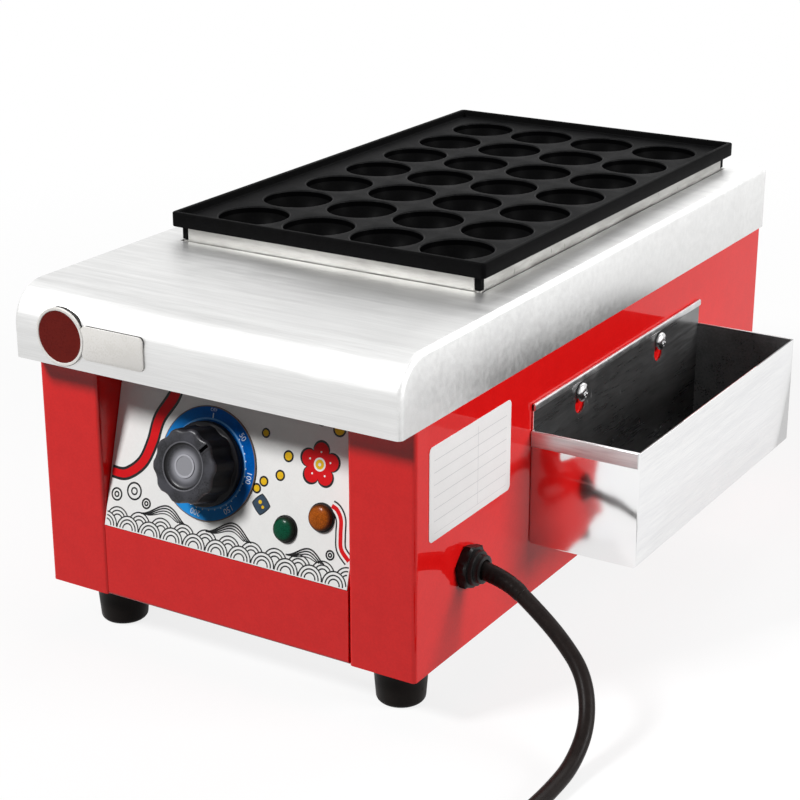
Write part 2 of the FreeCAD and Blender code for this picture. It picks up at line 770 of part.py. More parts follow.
def plate_lugs():
    """L-shaped lugs that reach down into the notched corners of the heater box."""
    foot, root = cover_top + lug_clear, plate_low + lug_root
    squares = box_corners(lug_leg, foot, root)
    spaces = box_corners(lug_leg, foot - overcut, root + overcut, inset=lug_thickness)
    return [square.cut(space) for square, space in zip(squares, spaces)]


def thermostat():
    """Thermostat case behind the panel, with its threaded neck through the panel and the dial."""
    back = -body_sheet
    case = block(dial_x - case_width / 2, dial_x + case_width / 2, dial_up - case_height / 2,
                 dial_up + case_height / 2, back - case_depth, back)
    neck = rod(neck_diameter / 2, Vector(dial_x, dial_up, back - overcut), Vector(dial_x, dial_up, neck_top))
    bore = rod(shaft_diameter / 2 + shaft_clear, Vector(dial_x, dial_up, back - shaft_depth - overcut),
               Vector(dial_x, dial_up, neck_top + overcut))
    return on_panel(fused([case, neck]).cut(bore))


def thermostat_nut():
    start, end = Vector(dial_x, dial_up, dial_face), Vector(dial_x, dial_up, dial_face + nut_height)
    return on_panel(prism(6, nut_flats, start, end).cut(prism(many_sides, neck_diameter, start, end)))


def thermostat_shaft():
    """Shaft with a flat on the end that the knob drives."""
    low, high = -body_sheet - shaft_depth, knob_top - knob_recess - knob_wall
    shaft = rod(shaft_diameter / 2, Vector(0, 0, low), Vector(0, 0, high)).cut(shaft_flat())
    shaft.translate(Vector(dial_x, dial_up, 0))
    return on_panel(shaft)


def dial_plate():
    start, end = Vector(dial_x, dial_up, fascia_sheet), Vector(dial_x, dial_up, dial_face)
    return on_panel(rod(dial_diameter / 2, start, end).cut(rod(neck_diameter / 2 + neck_clear, start, end)))


def control_knob():
    """Hollow moulded knob: round skirt, lobed grip, face recess, pointer notch and a bored boss."""
    def disc(diameter, low, high):
        return turned([(diameter / 2, low), (diameter / 2, high)], many_sides)
    grip = rod(knob_diameter / 2, Vector(0, 0, knob_low), Vector(0, 0, knob_top))
    reach = knob_diameter / 2 - scallop_depth + scallop_radius
    scallops = []
    for i in range(knob_lobes):
        turn = math.radians(90 - pointer_angle + (i + 0.5) * 360 / knob_lobes)
        x, y = reach * math.cos(turn), reach * math.sin(turn)
        scallops.append(rod(scallop_radius, Vector(x, y, knob_low - overcut), Vector(x, y, knob_top + overcut)))
    skirt = disc(knob_skirt_diameter, knob_low, knob_low + knob_skirt)
    knob = grip.cut(Part.makeCompound(scallops)).fuse(skirt)
    knob = knob.cut(disc(knob_recess_diameter, knob_top - knob_recess, knob_top + overcut))
    hollow_top = knob_low + knob_hollow
    knob = knob.cut(disc(knob_hollow_diameter, knob_low - overcut, hollow_top))
    knob = knob.fuse(disc(knob_boss_diameter, neck_top + boss_clear, hollow_top + overcut))
    shaft_top = knob_top - knob_recess - knob_wall
    bore = rod(shaft_diameter / 2, Vector(0, 0, knob_low), Vector(0, 0, shaft_top))
    knob = knob.cut(bore.cut(shaft_flat()))
    notch = block(-pointer_width / 2, pointer_width / 2, pointer_start, knob_skirt_diameter,
                  knob_top - pointer_depth, knob_top + overcut)
    notch.rotate(Vector(0, 0, 0), Vector(0, 0, 1), -pointer_angle)
    knob = knob.cut(notch)
    knob.translate(Vector(dial_x, dial_up, 0))
    return on_panel(knob)


def shaft_flat():
    """What the flat takes off the end of the shaft, and leaves in the knob's bore."""
    flat = block(-shaft_diameter, shaft_diameter, shaft_diameter / 2 - shaft_cut, shaft_diameter,
                 neck_top + boss_clear, knob_top)
    flat.rotate(Vector(0, 0, 0), Vector(0, 0, 1), -pointer_angle)
    return flat


def pilot_lens(x, up, diameter):
    """Domed lens with a short straight edge."""
    low = fascia_sheet + lamp_bezel
    radius = diameter / 2
    shoulder, rise = lens_shoulder
    lens = turned([(radius, low), (radius, low + lens_edge), (shoulder * radius, low + rise * lens_height),
                   (lens_crown * radius, low + lens_height)], many_sides)
    lens.translate(Vector(x, up, 0))
    return on_panel(lens)


def pilot_holder(x, up, diameter):
    """Black bezel on the panel and the lamp body behind it."""
    body, bezel = holder_diameter / 2, diameter / 2 + lamp_rim
    face = fascia_sheet
    holder = turned([(body, face - holder_length), (body, face), (bezel, face), (bezel, face + lamp_bezel)],
                    many_sides)
    holder.translate(Vector(x, up, 0))
    return on_panel(holder)


def pilot_clip(x, up):
    start, end = Vector(x, up, -body_sheet - clip_height), Vector(x, up, -body_sheet)
    return on_panel(prism(6, clip_flats, start, end).cut(prism(many_sides, holder_diameter, start, end)))


def sensing_bulb():
    """Thermostat bulb: through the front wall of the box and resting on the first bridge."""
    z = bridge_top + bulb_diameter / 2
    start = Vector(0, box_front - bulb_end, z)
    return prism(few_sides, bulb_diameter, start, start + Vector(0, bulb_length, 0))


def capillary_tube():
    """Thin copper tube from the top of the thermostat case to the bulb."""
    bulb_end_at = Vector(0, box_front - bulb_end, bridge_top + bulb_diameter / 2)
    start = PANEL.multVec(Vector(0, dial_up + case_height / 2, -body_sheet - case_depth / 2))
    up_slope = PANEL.Rotation.multVec(Vector(0, 1, 0))
    corner = start + up_slope * ((bulb_end_at.z - start.z) / up_slope.z)
    path = rounded_path([start, corner, bulb_end_at], capillary_bend, few_sides // 4)
    return mitred_tube(path, capillary_diameter / 2, thin_sides)


def cable_gland():
    """Gland outside the side panel: threaded stem, hexagon, ring and mouth on the cord's axis."""
    ring_end = gland_hex + gland_ring
    mouth_end = ring_end + gland_mouth
    stem, ring, mouth = gland_thread / 2, gland_ring_diameter / 2, gland_mouth_diameter / 2
    core = turned([(stem, -gland_thread_length), (stem, gland_hex), (ring, gland_hex), (ring, ring_end),
                   (mouth, ring_end), (mouth - mouth_flare, mouth_end)], many_sides)
    bore, flare = cord_radius, cord_radius + mouth_flare
    hole = turned([(bore, -gland_thread_length - overcut), (bore, mouth_end - flare_depth),
                   (flare, mouth_end - flare_depth), (flare, mouth_end + overcut)], many_sides, around=True)
    hexa = prism(6, gland_flats, Vector(0, 0, 0), Vector(0, 0, gland_hex), gland_turn)
    gland = core.fuse(hexa).cut(hole)
    start = Vector(side_x, gland_y, gland_height)
    return placed(gland, start, start + Vector(1, 0, 0))


def gland_locknut():
    wall = side_x - body_sheet
    start, end = Vector(wall - locknut_height, gland_y, gland_height), Vector(wall, gland_y, gland_height)
    return prism(6, gland_flats, start, end, gland_turn).cut(prism(many_sides, gland_thread, start, end))


def inner_cable():
    """The cord inside the body, from the mouth of the gland down to the terminal block."""
    start = Vector(gland_end - flare_depth, gland_y, gland_height)
    end = Vector(block_x + block_length / 2, gland_y, base_top + block_entry)
    corners = [start, Vector(side_x - cable_lead, gland_y, gland_height), end + Vector(cable_lead, 0, 0), end]
    return mitred_tube(rounded_path(corners, cable_bend, few_sides // 4), cord_radius, few_sides)


def terminal_block():
    x0, y0 = block_x - block_length / 2, gland_y - block_width / 2
    body = block(x0, x0 + block_length, y0, y0 + block_width, base_top, base_top + block_height)
    for i in range(block_ways):
        x = x0 + (i + 0.5) * block_length / block_ways
        top = base_top + block_height
        body = body.cut(block(x - block_slot / 2, x + block_slot / 2, gland_y - block_width / 4,
                              gland_y + block_width / 4, top - block_slot, top + overcut))
    return body


def earth_stud():
    """Earth screw up through the base plate, with its nut."""
    low = body_low + body_sheet
    return bolt(Vector(earth_x, earth_y, 0), earth_diameter, low, low + earth_length)


def keyhole(y):
    """Narrow slot round the screw shank, open into the entry hole below it."""
    x0, x1 = side_x, side_x + tray_gap + tray_sheet + overcut
    slot = screw_diameter / 2 + slot_clear
    low = screw_height - keyhole_drop
    return fused([rod(slot, Vector(x0, y, screw_height), Vector(x1, y, screw_height)),
                  block(x0, x1, y - slot, y + slot, low, screw_height),
                  rod(keyhole_entry / 2, Vector(x0, y, low), Vector(x1, y, low))])


def side_tray():
    """Folded stainless tray: tall back plate with keyholes, and end walls folded over outwards."""
    x0, x1, t = side_x + tray_gap, tray_x, tray_sheet
    outer = block(x0, x1, tray_front, tray_rear, tray_low, tray_high)
    inner = block(x0 + t, x1 - t, tray_front + t, tray_rear - t, tray_low + t, tray_high + overcut)
    pieces = [outer.cut(inner), block(x0, x0 + t, tray_front, tray_rear, tray_low, tray_back_high),
              block(x0 + t, x0 + 2 * t, tray_front, tray_rear, tray_back_high - back_hem, tray_back_high)]
    for y in (tray_front - t, tray_rear):
        pieces.append(block(x0, x1 - hem_slit, y, y + t, tray_high - hem_height, tray_high))
    return fused(pieces).cut(fused([keyhole(y) for y in screw_y]))


def tray_screws():
    """Pan-head screws that the tray hangs on."""
    neck, head = screw_diameter / 2, screw_head_diameter / 2
    seat = 2 * tray_gap + tray_sheet
    edge, crown = seat + pan_edge * screw_head_height, seat + screw_head_height
    profile = [(neck, -rivnut_length), (neck, seat), (head, seat), (head, edge), (pan_crown * head, crown)]
    screw = turned(profile, many_sides)
    return [screw_placed(screw, y) for y in screw_y]


def screw_placed(shape, y):
    """A copy of a shape built along Z, turned out of the side panel at a tray screw."""
    start = Vector(side_x, y, screw_height)
    return placed(shape.copy(), start, start + Vector(1, 0, 0))


def tray_rivnuts():
    """Rivet nuts in the side panel that take the tray screws."""
    neck = rivnut_diameter / 2 - rivnut_shoulder
    bulge = rivnut_diameter / 2
    nut = turned([(bulge, -rivnut_bulge), (bulge, -body_sheet), (neck, -body_sheet), (neck, 0)], few_sides)
    thread = screw_diameter / 2
    bore = turned([(thread, -rivnut_length), (thread, overcut)], many_sides, around=True)
    return [screw_placed(nut.cut(bore), y) for y in screw_y]


def coil_solid():
    """Outer form of the wound coil: a ring as wide and as high as its turns."""
    inner = coil_diameter / 2 - coil_rows * cord_radius
    outer = coil_diameter / 2 + coil_rows * cord_radius
    top = coil_layers * cord_diameter
    ring = turned([(inner, 0), (outer, 0), (outer, top), (inner, top)], many_sides, closed=True, around=True)
    ring.translate(Vector(coil_x, coil_y, 0))
    return ring


def tail_axes():
    """Start of the tail on the outer turn, its direction, and the height of the top layer."""
    turn = math.radians(tail_angle)
    radius = coil_diameter / 2 + (coil_rows - 1) * cord_radius
    start = Vector(coil_x + radius * math.cos(turn), coil_y + radius * math.sin(turn),
                   (coil_layers - 0.5) * cord_diameter)
    return start, Vector(-math.sin(turn), math.cos(turn), 0)


def cord_tail():
    start, way = tail_axes()
    return prism(few_sides, cord_diameter, start, start + way * tail_length)


def mains_plug():
    """Moulded plug with a tapered relief, lying beside the coil."""
    start, way = tail_axes()
    root = start + way * tail_length
    low = -start.z
    body = block(-plug_width / 2, plug_width / 2, low, -low, 0, plug_length)
    body = body.makeChamfer(plug_edge, [e for e in body.Edges if abs(e.tangentAt(e.FirstParameter).z) > 0.99])
    body.translate(Vector(0, 0, relief_length))
    root_radius = cord_radius + relief_wall
    relief = turned([(root_radius, 0), (relief_diameter / 2, relief_length + overcut)], few_sides)
    plug = body.fuse(relief)
    plug.Placement = Placement(root, plug_rotation())
    return plug


def plug_rotation():
    """Turns the plug's own z axis along the tail, with its height upwards."""
    return Rotation(Vector(0, 0, 1), tail_angle) * Rotation(Vector(1, 0, 0), -90)


def plug_blades():
    """Two slanted flat pins and an upright earth pin."""
    start, way = tail_axes()
    face = start + way * (tail_length + relief_length + plug_length)
    places = ((-blade_spread, -blade_drop, blade_turn), (blade_spread, -blade_drop, -blade_turn),
              (0, earth_blade_rise, 0))
    blades = []
    half, wide = blade_thickness / 2, blade_width / 2
    for x, y, turn in places:
        blade = block(-half, half, -wide, wide, 0, blade_length)
        blade.rotate(Vector(0, 0, 0), Vector(0, 0, 1), turn)
        blade.translate(Vector(x, y, 0))
        blade.Placement = Placement(face, plug_rotation()).multiply(blade.Placement)
        blades.append(blade)
    return blades


def export(name, shapes):
    """Writes one node: its solids moved to the part's own origin."""
    solids = shapes if isinstance(shapes, list) else [shapes]
    moved = []
    for solid in solids:
        copy = solid.copy()
        copy.translate(shift)
        moved.extend(copy.Solids)
    shape = moved[0] if len(moved) == 1 else Part.makeCompound(moved)
    bounds = shape.BoundBox
    print(f"{name}: {len(moved)} solid(s), valid {shape.isValid()}, {shape.Volume / 1000:.1f} cm3, "
          f"z {bounds.ZMin:.1f} to {bounds.ZMax:.1f}")
    shape.exportStep(f"parts/{name}.step")


def main():
    os.makedirs("parts", exist_ok=True)
    panel = side_panel()
    export("left_side_panel", foot_holes(mirrored(panel)))
    export("right_side_panel", foot_holes(panel_holes(panel)))
    export("front_panel", front_panel())
    export("control_fascia", control_fascia())
    export("top_cover", top_cover())
    export("rear_panel", rear_panel())
    export("base_plate", base_plate())
    export("rubber_feet", [rubber_foot(place) for place in foot_places()])
    export("foot_screws", [foot_screw(place) for place in foot_places()])
    export("support_rails", support_rails())
    export("heater_box", heater_box())
    export("heating_elements", heating_elements())
    export("element_collars", element_collars())
    export("element_bridges", element_bridges())
    export("insulation_mat", insulation_mat())
    export("heat_shield", heat_shield())
    export("griddle_plate", griddle_plate())
    export("thermostat", thermostat())
    export("thermostat_nut", thermostat_nut())
    export("thermostat_shaft", thermostat_shaft())
    export("sensing_bulb", sensing_bulb())
    export("capillary_tube", capillary_tube())
    export("dial_plate", dial_plate())
    export("control_knob", control_knob())
    export("green_lens", pilot_lens(green_x, green_up, green_diameter))
    export("amber_lens", pilot_lens(amber_x, amber_up, amber_diameter))
    export("lamp_holders", [pilot_holder(green_x, green_up, green_diameter),
                            pilot_holder(amber_x, amber_up, amber_diameter)])
    export("lamp_clips", [pilot_clip(green_x, green_up), pilot_clip(amber_x, amber_up)])
    export("cable_gland", cable_gland())
    export("gland_locknut", gland_locknut())
    export("inner_cable", inner_cable())
    export("terminal_block", terminal_block())
    export("earth_stud", earth_stud())
    export("side_tray", side_tray())
    export("tray_screws", tray_screws())
    export("tray_rivnuts", tray_rivnuts())
    cord, radii, length = tube_along(cord_route, cord_radius, few_sides)
    section = few_sides / 2 * cord_radius ** 2 * math.sin(2 * math.pi / few_sides)
    print("cord radii in diameters:", [round(r / cord_diameter, 1) for r in radii], f"length {length:.1f}")
    print(f"cord volume {cord.Volume:.0f}, section by length {section * length:.0f}")
    export("power_cord", cord)
    export("cord_coil", coil_solid())
    export("cord_tail", cord_tail())
    export("mains_plug", mains_plug())
    export("plug_blades", plug_blades())
    print("shift to the part's origin:", tuple(round(v, 3) for v in shift))


main()
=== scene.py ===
import json
import math

import bmesh
import bpy
import numpy as np
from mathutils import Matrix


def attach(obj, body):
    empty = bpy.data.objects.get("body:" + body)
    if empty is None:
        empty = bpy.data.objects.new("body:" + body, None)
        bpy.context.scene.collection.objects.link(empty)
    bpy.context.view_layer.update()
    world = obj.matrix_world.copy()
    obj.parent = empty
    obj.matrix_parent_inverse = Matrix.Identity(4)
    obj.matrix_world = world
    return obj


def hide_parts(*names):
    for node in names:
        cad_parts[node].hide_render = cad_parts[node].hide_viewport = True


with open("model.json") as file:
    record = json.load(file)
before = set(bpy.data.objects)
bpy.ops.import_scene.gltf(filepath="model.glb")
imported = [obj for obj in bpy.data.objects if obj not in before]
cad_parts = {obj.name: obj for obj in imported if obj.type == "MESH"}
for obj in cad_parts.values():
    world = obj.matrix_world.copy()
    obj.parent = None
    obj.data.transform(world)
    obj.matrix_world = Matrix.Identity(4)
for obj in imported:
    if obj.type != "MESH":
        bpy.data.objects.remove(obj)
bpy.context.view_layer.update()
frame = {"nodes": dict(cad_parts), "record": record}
nodes = frame["nodes"]
print("frame loaded:", len(nodes), "nodes")

# Sizes are in millimetres from the middle of the body, X to the right, Y to the rear, Z up from the table.
mm = 0.001
bodyCentre = np.array([-31.7, 7.5, 0.0])
panelFoot = np.array([0.0, -223.5, 70.8])   # top edge of the sill, where the control panel starts
panelLean = math.radians(15)
fasciaFace = 0.8
coverTop, coverLow, coverFront, coverNose = 207.0, 167.0, -239.9, 22.0
sideFace = 120.0


def inBody(points):
    # from the body's millimetres to the frame's metres
    return (points + bodyCentre) * mm


def onPanel(points):
    # x along the panel, y up its slope, z out of it, turned by the lean and moved to the sill
    x, up, out = np.moveaxis(points, -1, 0)
    sine, cosine = math.sin(panelLean), math.cos(panelLean)
    return inBody(np.stack([x, up * sine - out * cosine, up * cosine + out * sine], -1) + panelFoot)


def onSide(y, z):
    # a piece built up along z stands out of the right side at that height and depth
    def place(points):
        return inBody(np.stack([sideFace + points[..., 2], y + points[..., 1], z - points[..., 0]], -1))
    return place


def onFront(x, z):
    # the same for the front of the cover
    def place(points):
        return inBody(np.stack([x + points[..., 0], coverFront - points[..., 2], z + points[..., 1]], -1))
    return place


def asPlaced(points):
    return points


def polar(radius, angle):
    return np.stack([radius * np.cos(angle), radius * np.sin(angle)], -1)


def evenTurn(count):
    return np.linspace(0, 2 * np.pi, count, endpoint=False)


def arcAt(centre, radius, degrees, tall=None):
    # (radius, height) pairs on a circle, or on an ellipse of another height, at angles in degrees
    tall = radius if tall is None else tall
    return [(centre[0] + radius * math.cos(a), centre[1] + tall * math.sin(a)) for a in np.radians(degrees)]


def arc(centre, radius, start, end, steps, tall=None):
    return arcAt(centre, radius, np.linspace(start, end, steps), tall)


def withHeight(flat, height, axis=2):
    # flat points with the missing coordinate put in
    return np.insert(flat, axis, height, axis=-1)


def sweep(line, places, axis):
    # a flat line repeated at each place along an axis
    return withHeight(np.repeat(np.array(line)[:, None], len(places), 1), places, axis)


def ringGrid(radius, height, angle):
    # a ring round the z axis at each height; the radius may change along a ring
    radius = np.broadcast_to(radius, (len(height), len(angle)))
    return withHeight(polar(radius, angle), np.array(height, float)[:, None])


def gridPatch(points, closeRows=False, closeColumns=False):
    # quads between neighbouring rows and columns of a grid of points
    rows, columns = points.shape[:2]
    r = np.arange(rows if closeRows else rows - 1)[:, None]
    c = np.arange(columns if closeColumns else columns - 1)[None, :]
    r1, c1 = (r + 1) % rows, (c + 1) % columns
    quads = np.broadcast_arrays(r * columns + c, r * columns + c1, r1 * columns + c1, r1 * columns + c)
    return points.reshape(-1, 3), np.stack(quads, -1).reshape(-1, 4).tolist()


def tubePatch(points, closeRows=False):
    return gridPatch(points, closeRows, closeColumns=True)


def capPatch(loop):
    # one flat face inside a loop of points
    return loop, [list(range(len(loop)))]


def barPatches(loops):
    # a bar through loops of points, closed by a cap at both ends
    return [tubePatch(np.stack(loops)), capPatch(loops[0]), capPatch(loops[-1])]


def cutPatch(patch, gone):
    # the patch without the faces whose middles are in the region that gone(x, y, z) describes
    points, faces = patch
    cut = gone(*points[np.array(faces)].mean(1).T)
    return points, [face for face, out in zip(faces, cut) if not out]


def turnedPatch(profile, sides, shift=(0, 0, 0), closeRows=False):
    # a profile of (radius, height) pairs carried round the z axis
    radius, height = np.array(profile, float).T
    return tubePatch(ringGrid(radius[:, None], height, evenTurn(sides)) + shift, closeRows)


def roundedLoop(halfX, halfY, radius, z=0.0, steps=6, shareX=(), shareY=()):
    # a rectangle with round corners, walked anticlockwise; the shares, from -1 to 1, divide its straight runs
    radius = min(radius, halfX, halfY)
    inX, inY = halfX - radius, halfY - radius
    shareX, shareY = np.array(shareX, float), np.array(shareY, float)
    runs = []
    for turn, (sx, sy) in enumerate([(1, -1), (1, 1), (-1, 1), (-1, -1)]):
        angle = np.radians(np.linspace(turn * 90 - 90, turn * 90, steps + 1))
        runs.append(polar(radius, angle) + [sx * inX, sy * inY])
        way = 1 if turn < 2 else -1
        if turn % 2 == 0:
            runs.append(np.stack([np.full(len(shareY), way * halfX), way * shareY * inY], -1))
        else:
            runs.append(np.stack([-way * shareX * inX, np.full(len(shareX), way * halfY)], -1))
    return withHeight(np.concatenate(runs), z)


def platePatches(halfX, halfY, radius, thick, edge, low=0.0):
    # a flat plate with round corners and eased edges
    return barPatches([roundedLoop(halfX - inset, halfY - inset, radius - inset, z, 8) for inset, z in
                       ((0, low), (0, thick - edge), (edge * 0.3, thick - edge * 0.3), (edge, thick))])


def addObject(name, data):
    made = bpy.data.objects.new(name, data)
    bpy.context.collection.objects.link(made)
    return made


def readPoints(items, kind="co"):
    points = np.empty(len(items) * 3)
    items.foreach_get(kind, points)
    return points.reshape(-1, 3)


def weld(patches, place):
    # joins patches into one mesh, merges the points where they meet and drops empty faces
    form = bmesh.new()
    for points, faces in patches:
        made = [form.verts.new(p) for p in place(np.asarray(points, float)).tolist()]
        for face in faces:
            form.faces.new([made[i] for i in face])
    bmesh.ops.remove_doubles(form, verts=form.verts, dist=2e-6)
    bmesh.ops.dissolve_degenerate(form, edges=form.edges, dist=1e-6)
    return form


def makePiece(name, patches, slot, *looks, body="housing", place=inBody, crease=38, outward=True, wall=0.0,
              bevel=0.0, paint=None, replaces=()):
    # looks name the piece's materials where they aren't the slot's own
    form = weld(patches, place)
    if outward:
        bmesh.ops.recalc_face_normals(form, faces=form.faces)
    mesh = bpy.data.meshes.new(name)
    form.to_mesh(mesh)
    form.free()
    piece = addObject(name, mesh)
    if wall:
        thick = piece.modifiers.new("wall", "SOLIDIFY")
        thick.thickness, thick.offset, thick.use_even_offset = wall * mm, -1, True
    if bevel:
        edge = piece.modifiers.new("edge", "BEVEL")
        edge.width, edge.segments, edge.angle_limit = bevel * mm, 2, math.radians(50)
    if wall or bevel:
        mesh = bpy.data.meshes.new_from_object(piece.evaluated_get(bpy.context.evaluated_depsgraph_get()))
        piece.modifiers.clear()
        piece.data = mesh
    for material in [bpy.data.materials[look] for look in looks] or [slotFinishes[slot]]:
        mesh.materials.append(material)
    if paint:
        # paint gives each face a material from its middle, in the frame's millimetres
        middles = readPoints(mesh.polygons, "center") / mm
        mesh.polygons.foreach_set("material_index", paint(middles).astype(int))
    mesh.polygons.foreach_set("use_smooth", np.ones(len(mesh.polygons), bool))
    mesh.set_sharp_from_angle(angle=math.radians(crease))
    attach(piece, body)
    if replaces:
        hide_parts(*replaces)
    return piece


def addNode(tree, kind, inputs=None, **settings):
    made = tree.nodes.new("ShaderNode" + kind)
    for key, value in settings.items():
        setattr(made, key, value)
    for key, value in (inputs or {}).items():
        if isinstance(value, bpy.types.NodeSocket):
            tree.links.new(value, made.inputs[key])
        else:
            made.inputs[key].default_value = value
    return made


def maths(tree, operation, *values, clamp=False):
    return addNode(tree, "Math", dict(enumerate(values)), operation=operation, use_clamp=clamp).outputs[0]


def times(tree, first, second):
    return maths(tree, "MULTIPLY", first, second)


def vectorMaths(tree, operation, *values):
    return addNode(tree, "VectorMath", dict(enumerate(values)), operation=operation).outputs


def noise(tree, place, scale, detail, **inputs):
    return addNode(tree, "TexNoise", {"Vector": place, "Scale": scale, "Detail": detail, **inputs}).outputs[0]


def cells(tree, place, scale):
    return addNode(tree, "TexVoronoi", {"Vector": place, "Scale": scale}, feature="F1").outputs["Distance"]


def mixColour(tree, share, first, second):
    inputs = {"Factor": share}
    for key, value in ((6, first), (7, second)):
        inputs[key] = value if isinstance(value, bpy.types.NodeSocket) else (*value, 1.0)
    return addNode(tree, "Mix", inputs, data_type="RGBA").outputs[2]


def ramp(tree, value, low, high, first=0.0):
    # value from low to high becomes first to 1, eased at both ends
    return addNode(tree, "MapRange", {"Value": value, "From Min": low, "From Max": high, "To Min": first,
                                      "To Max": 1.0}, interpolation_type="SMOOTHSTEP").outputs[0]


def tinted(tree, colour, tint, share, value, *edges):
    # lays a tint over the colour; at each edge, a pair of values, its share rises from nothing
    for low, high in edges:
        share = times(tree, ramp(tree, value, low, high), share)
    return mixColour(tree, share, colour, tint)


def newGroup(name, inputs, outputs):
    group = bpy.data.node_groups.new(name, "ShaderNodeTree")
    for label, value in {"Vector": (0, 0, 0), **inputs}.items():
        kind = "NodeSocketFloat" if isinstance(value, float) else "NodeSocketVector"
        group.interface.new_socket(label, in_out="INPUT", socket_type=kind).default_value = value
    for label in outputs:
        group.interface.new_socket(label, in_out="OUTPUT", socket_type="NodeSocketFloat")
    return group, group.nodes.new("NodeGroupInput").outputs, group.nodes.new("NodeGroupOutput").inputs


def grainGroup():
    # noise drawn out along one direction: the grain of a brushed, rolled, cast or moulded surface
    group, given, out = newGroup("surfaceGrain", {"Stretch": (1, 1, 1), "Scale": 800.0, "Detail": 3.0},
                                 ["Tone", "Height"])
    drawn = vectorMaths(group, "MULTIPLY", given["Vector"], given["Stretch"])[0]
    fine = noise(group, drawn, given["Scale"], given["Detail"], Roughness=0.6)
    broad = noise(group, drawn, times(group, given["Scale"], 0.14), 2.0)
    both = maths(group, "ADD", times(group, fine, 0.6), times(group, broad, 0.4))
    group.links.new(ramp(group, both, 0.34, 0.66), out["Tone"])
    group.links.new(fine, out["Height"])
    return group


def marksGroup():
    # soft smears left by hands and cloths, and a few fine scratches across them
    group, given, out = newGroup("handMarks", {"Scale": 12.0, "Scratches": 0.3}, ["Smear", "Scratch"])
    warp = noise(group, given["Vector"], given["Scale"], 4.0, Distortion=1.2)
    turned = addNode(group, "Mapping", {"Vector": given["Vector"], "Rotation": (0.5, 0.7, 0.9),
                                        "Scale": (7.0, 420.0, 160.0)}).outputs[0]
    lines = ramp(group, noise(group, turned, 1.0, 1.0), 0.7, 0.78)
    group.links.new(ramp(group, warp, 0.42, 0.68), out["Smear"])
    group.links.new(times(group, lines, given["Scratches"]), out["Scratch"])
    return group


def dustGroup():
    # dust and splashes that settle on faces that look up, broken by noise
    group, given, out = newGroup("settledDust", {"Scale": 60.0, "Amount": 0.2}, ["Dust"])
    up = addNode(group, "SeparateXYZ", {0: addNode(group, "NewGeometry").outputs["Normal"]}).outputs[2]
    spots = noise(group, given["Vector"], given["Scale"], 6.0)
    facing = times(group, ramp(group, up, 0.3, 0.95), ramp(group, spots, 0.45, 0.75))
    group.links.new(times(group, facing, given["Amount"]), out["Dust"])
    return group


grainNodes, marksNodes, dustNodes = grainGroup(), marksGroup(), dustGroup()
slotFinishes = {}
# grain is its scale, spread how far it moves the roughness, bump and depth its relief; smear, scratches and
# dusty are how much hands, scratches and dust show
plainLook = {
    "dust": (0.5, 0.48, 0.44), "metallic": 0.0, "roughness": 0.4, "spread": 0.08, "stretch": (1, 1, 1),
    "grain": 900.0, "detail": 3.0, "bump": 0.2, "depth": 0.0001, "smear": 0.06, "scratches": 0.2, "dusty": 0.08,
    "specular": 0.5, "coat": (0.0, 0.03), "shader": {},
}


def makeFinish(name, colour, shade, slot=None, paint=None, **changes):
    # the grain runs between colour and shade; paint(tree, place, colour) may repaint them before dust settles
    look = {**plainLook, **changes}
    material = bpy.data.materials.new(name)
    material.use_nodes = True
    tree = material.node_tree
    tree.nodes.clear()
    place = addNode(tree, "TexCoord").outputs["Object"]

    def group(kind, **inputs):
        return addNode(tree, "Group", {"Vector": place, **inputs}, node_tree=kind).outputs

    grain = group(grainNodes, Stretch=look["stretch"], Scale=look["grain"], Detail=look["detail"])
    marks = group(marksNodes, Scratches=look["scratches"])
    dust = group(dustNodes, Amount=look["dusty"])["Dust"]
    colour = mixColour(tree, grain["Tone"], shade, colour)
    if paint:
        colour = paint(tree, place, colour)
    colour = mixColour(tree, dust, colour, look["dust"])
    rough = maths(tree, "MULTIPLY_ADD", grain["Tone"], look["spread"], look["roughness"] - look["spread"] / 2)
    rough = maths(tree, "MULTIPLY_ADD", marks["Smear"], look["smear"], rough)
    rough = maths(tree, "ADD", rough, maths(tree, "ADD", dust, marks["Scratch"]), clamp=True)
    bump = addNode(tree, "Bump", {"Height": grain["Height"], "Strength": look["bump"],
                                  "Distance": look["depth"]})
    coat, coatRoughness = look["coat"]
    shader = addNode(tree, "BsdfPrincipled", {
        "Base Color": colour, "Roughness": rough, "Normal": bump.outputs[0], "Metallic": look["metallic"],
        "Specular IOR Level": look["specular"], "Coat Weight": coat, "Coat Roughness": coatRoughness,
        **look["shader"]})
    addNode(tree, "OutputMaterial", {"Surface": shader.outputs[0]})
    if slot:
        slotFinishes[slot] = material
    return material


def panelPlace(tree, place, x, up):
    # the place along the control panel, in millimetres from a point on it, and the distance from that point
    foot = onPanel(np.array([x, up, 0.0])).tolist()
    moved = vectorMaths(tree, "SUBTRACT", place, foot)[0]
    turned = addNode(tree, "VectorRotate", {"Vector": moved, "Axis": (1, 0, 0),
                                            "Angle": panelLean - math.pi / 2})
    flat = vectorMaths(tree, "MULTIPLY", turned.outputs[0], (1 / mm, 1 / mm, 0))[0]
    return flat, vectorMaths(tree, "LENGTH", flat)[1]


# the lighter blue towards the lower left is painted light, and the pale ring is a printed circle painted paler
# as a painted highlight
dial = {"x": -15.6, "up": 48.2, "face": 1.8, "paintedLightBlue": (0.022, 0.27, 0.70), "ring": (0.16, 0.42, 0.82),
        "edge": (0.17, 0.13, 0.11), "ink": (0.8, 0.86, 0.92), "numberRadius": 27.3, "numberSize": 4.5,
        "dotRadius": 24.8, "dotSize": 0.42, "dots": 26, "off": (2.5, 29.0), "offTick": (24.6, 27.4, 0.7),
        "first": 48.0, "perHalf": 46.7}


